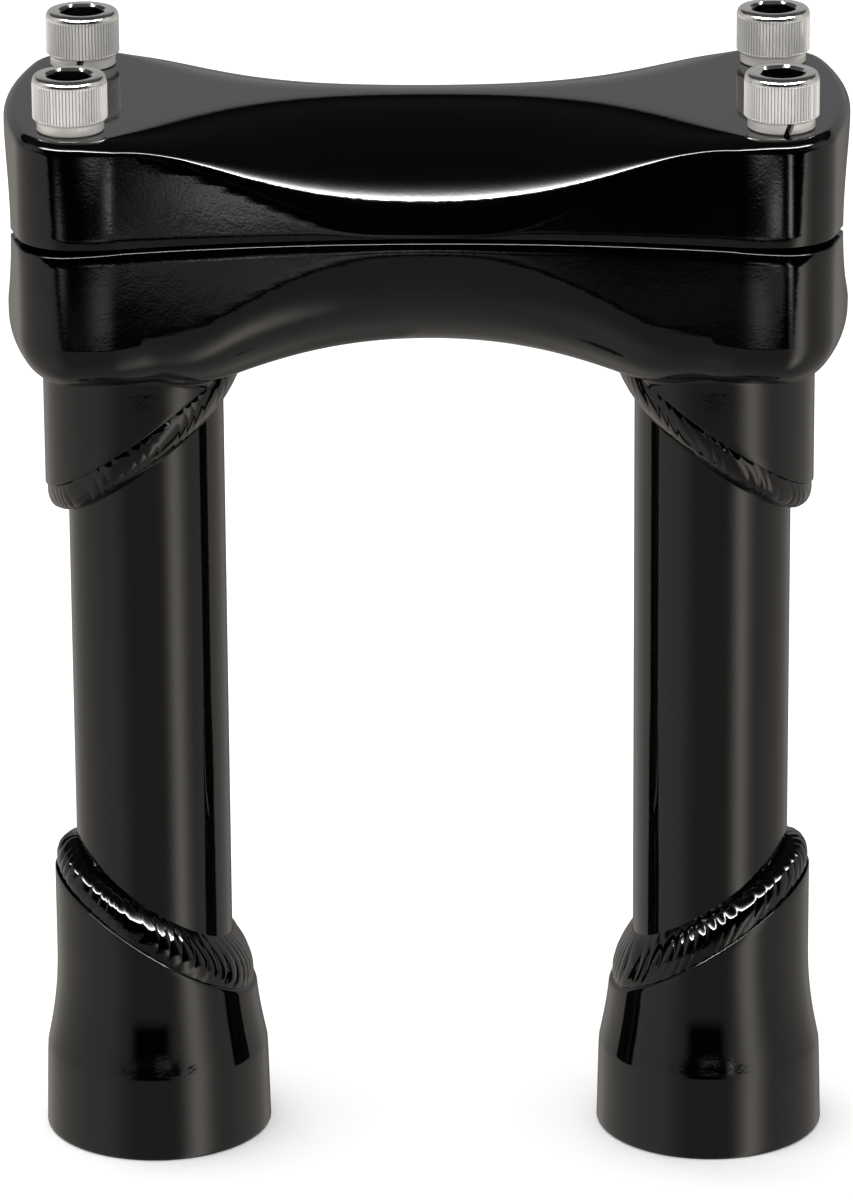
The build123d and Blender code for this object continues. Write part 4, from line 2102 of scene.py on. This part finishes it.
    def high_level(self, sheet: NodeSheet, turn: Signal, height: Signal) -> Signal:
        """Light from above the horizon: backdrop, sides, ceiling and the strip over the camera.

        Args:
            sheet: the world's node sheet.
            turn: the direction round the riser.
            height: the height over the horizon.

        Returns:
            The level of light.
        """
        aside = abs(turn)
        rear = sheet.step(aside, *self.backdrop_turn)
        below = 1.0 - sheet.step(height, *self.backdrop_top)
        backdrop = rear * below * self.backdrop_level
        flank = sheet.step(aside, *self.flank_turn) * (1.0 - rear)
        flank = flank * (1.0 - sheet.step(height, *self.flank_top)) * self.side_level
        ceiling = sheet.step(height, *self.ceiling_height) * self.ceiling_level
        window = (1.0 - sheet.step(aside, *self.strip_turn)) * self.strip_level
        fall = sheet.math("EXPONENT", -((height - self.strip_low[0]) / self.strip_fade))
        strip = sheet.step(height, *self.strip_low) * fall * window
        return backdrop + flank + (ceiling + strip)

    def build_lamp(self) -> None:
        """Hangs one large soft lamp over the riser, for the floor's shadow."""
        light = bpy.data.lights.new("overhead_softbox", "AREA")
        light.shape = "RECTANGLE"
        light.size, light.size_y = self.lamp_size
        light.energy = self.lamp_power
        lamp = bpy.data.objects.new("overhead_softbox", light)
        lamp.location = self.lamp_place
        lamp.rotation_euler = (-Vector(self.lamp_place)).to_track_quat("-Z", "Y").to_euler()
        lamp.visible_glossy = False
        lamp.visible_camera = False
        bpy.context.scene.collection.objects.link(lamp)


@dataclass
class PhotoCamera:
    """The camera at the photograph's place: angles in degrees, lengths in metres."""

    azimuth: float = 0.657
    elevation: float = 19.843
    roll: float = -0.402
    distance: float = 1.164325
    aim: tuple[float, float, float] = (-0.000594, 0.0, 0.088782)
    focal_pixels: float = 7367.369
    frame_height: float = 1200.0
    sensor: float = 36.0
    clip: tuple[float, float] = (0.05, 20.0)

    def build(self) -> None:
        """Makes the camera and sets it as the scene's."""
        turn, tilt, roll = (math.radians(v) for v in (self.azimuth, self.elevation, self.roll))
        level = math.cos(tilt)
        back = Vector((math.sin(turn) * level, -math.cos(turn) * level, math.sin(tilt)))
        right = Vector((math.cos(turn), math.sin(turn), 0.0))
        up = back.cross(right)
        tilted_right = right * math.cos(roll) + up * math.sin(roll)
        tilted_up = up * math.cos(roll) - right * math.sin(roll)
        data = bpy.data.cameras.new("photo_camera")
        data.sensor_fit = "VERTICAL"
        data.sensor_height = self.sensor
        data.lens = self.focal_pixels * self.sensor / self.frame_height
        data.clip_start, data.clip_end = self.clip
        camera = bpy.data.objects.new("photo_camera", data)
        axes = Matrix((tilted_right, tilted_up, back)).transposed().to_4x4()
        where = Vector(self.aim) + back * self.distance
        camera.matrix_world = Matrix.Translation(where) @ axes
        bpy.context.scene.collection.objects.link(camera)
        bpy.context.scene.camera = camera


def place(piece: bpy.types.Object, body: str, node: str, slot: str) -> None:
    """Hangs a finished piece on its body, in place of its plain node.

    Args:
        piece: the finished piece.
        body: the body that it moves with.
        node: the node that it stands for.
        slot: the name of the piece's finish; not used.
    """
    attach(piece, body)
    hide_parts(node)
    LOG.info("%s: %d faces on %s", piece.name, len(piece.data.polygons), body)


@dataclass
class Turns:
    """How each screw place's hexagon and washer cut are turned, in degrees."""

    hexagon: dict[str, float] = field(
        default_factory=lambda: {
            "front_left": 0.0,
            "front_right": 17.0,
            "rear_left": 4.0,
            "rear_right": 2.0,
        }
    )
    cut: dict[str, float] = field(
        default_factory=lambda: {
            "front_left": 110.0,
            "front_right": 281.0,
            "rear_left": 266.0,
            "rear_right": 75.0,
        }
    )


def main() -> None:
    """Builds the riser piece by piece, then the studio and the camera."""
    logging.basicConfig(level=logging.INFO, format="%(message)s")
    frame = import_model()
    LOG.info("frame: %d nodes", len(frame["nodes"]))
    bpy.context.scene.view_settings.view_transform = "Standard"
    PhotoCamera().build()
    black, stainless, washer_steel = GlossBlack(), Stainless(), WasherSteel()
    coat, steel, spring = black.build(), stainless.build(), washer_steel.build()
    form, pattern, turns = ClampForm(), ScrewPattern(), Turns()
    lower = ClampHalf(HalfKind.LOWER, form, pattern).build(coat)
    place(lower, "riser", "lower_clamp", black.slot)
    upper = ClampHalf(HalfKind.UPPER, form, pattern).build(coat)
    place(upper, "cap", "upper_clamp", black.slot)
    ridge, helix = RidgeTree().build(steel), HelixTree().build(steel)
    for side in Side:
        name = side.name.lower()
        place(Stub(side, form=form).build(coat), "riser", "lower_clamp", black.slot)
        place(Upright(side).build(coat), "riser", f"{name}_tube", black.slot)
        place(Foot(side).build(coat), "riser", f"{name}_foot", black.slot)
        for cut, level in ((Cut.STUB, "upper"), (Cut.FOOT, "lower")):
            bead = WeldBead(side, cut).build(coat)
            place(bead, "riser", f"{level}_{name}_weld", black.slot)
        for end in End:
            node = f"{end.name.lower()}_{name}"
            screw = CapScrew(side, end, pattern, hex_turn=turns.hexagon[node])
            made = screw.build(steel, ridge, helix)
            place(made, f"{node}_screw", f"{node}_screw", stainless.slot)
            washer = LockWasher(side, end, pattern, gap_turn=turns.cut[node]).build(spring)
            place(washer, f"{node}_washer", f"{node}_washer", washer_steel.slot)
    Studio().build()


if __name__ == "__main__":
    main()
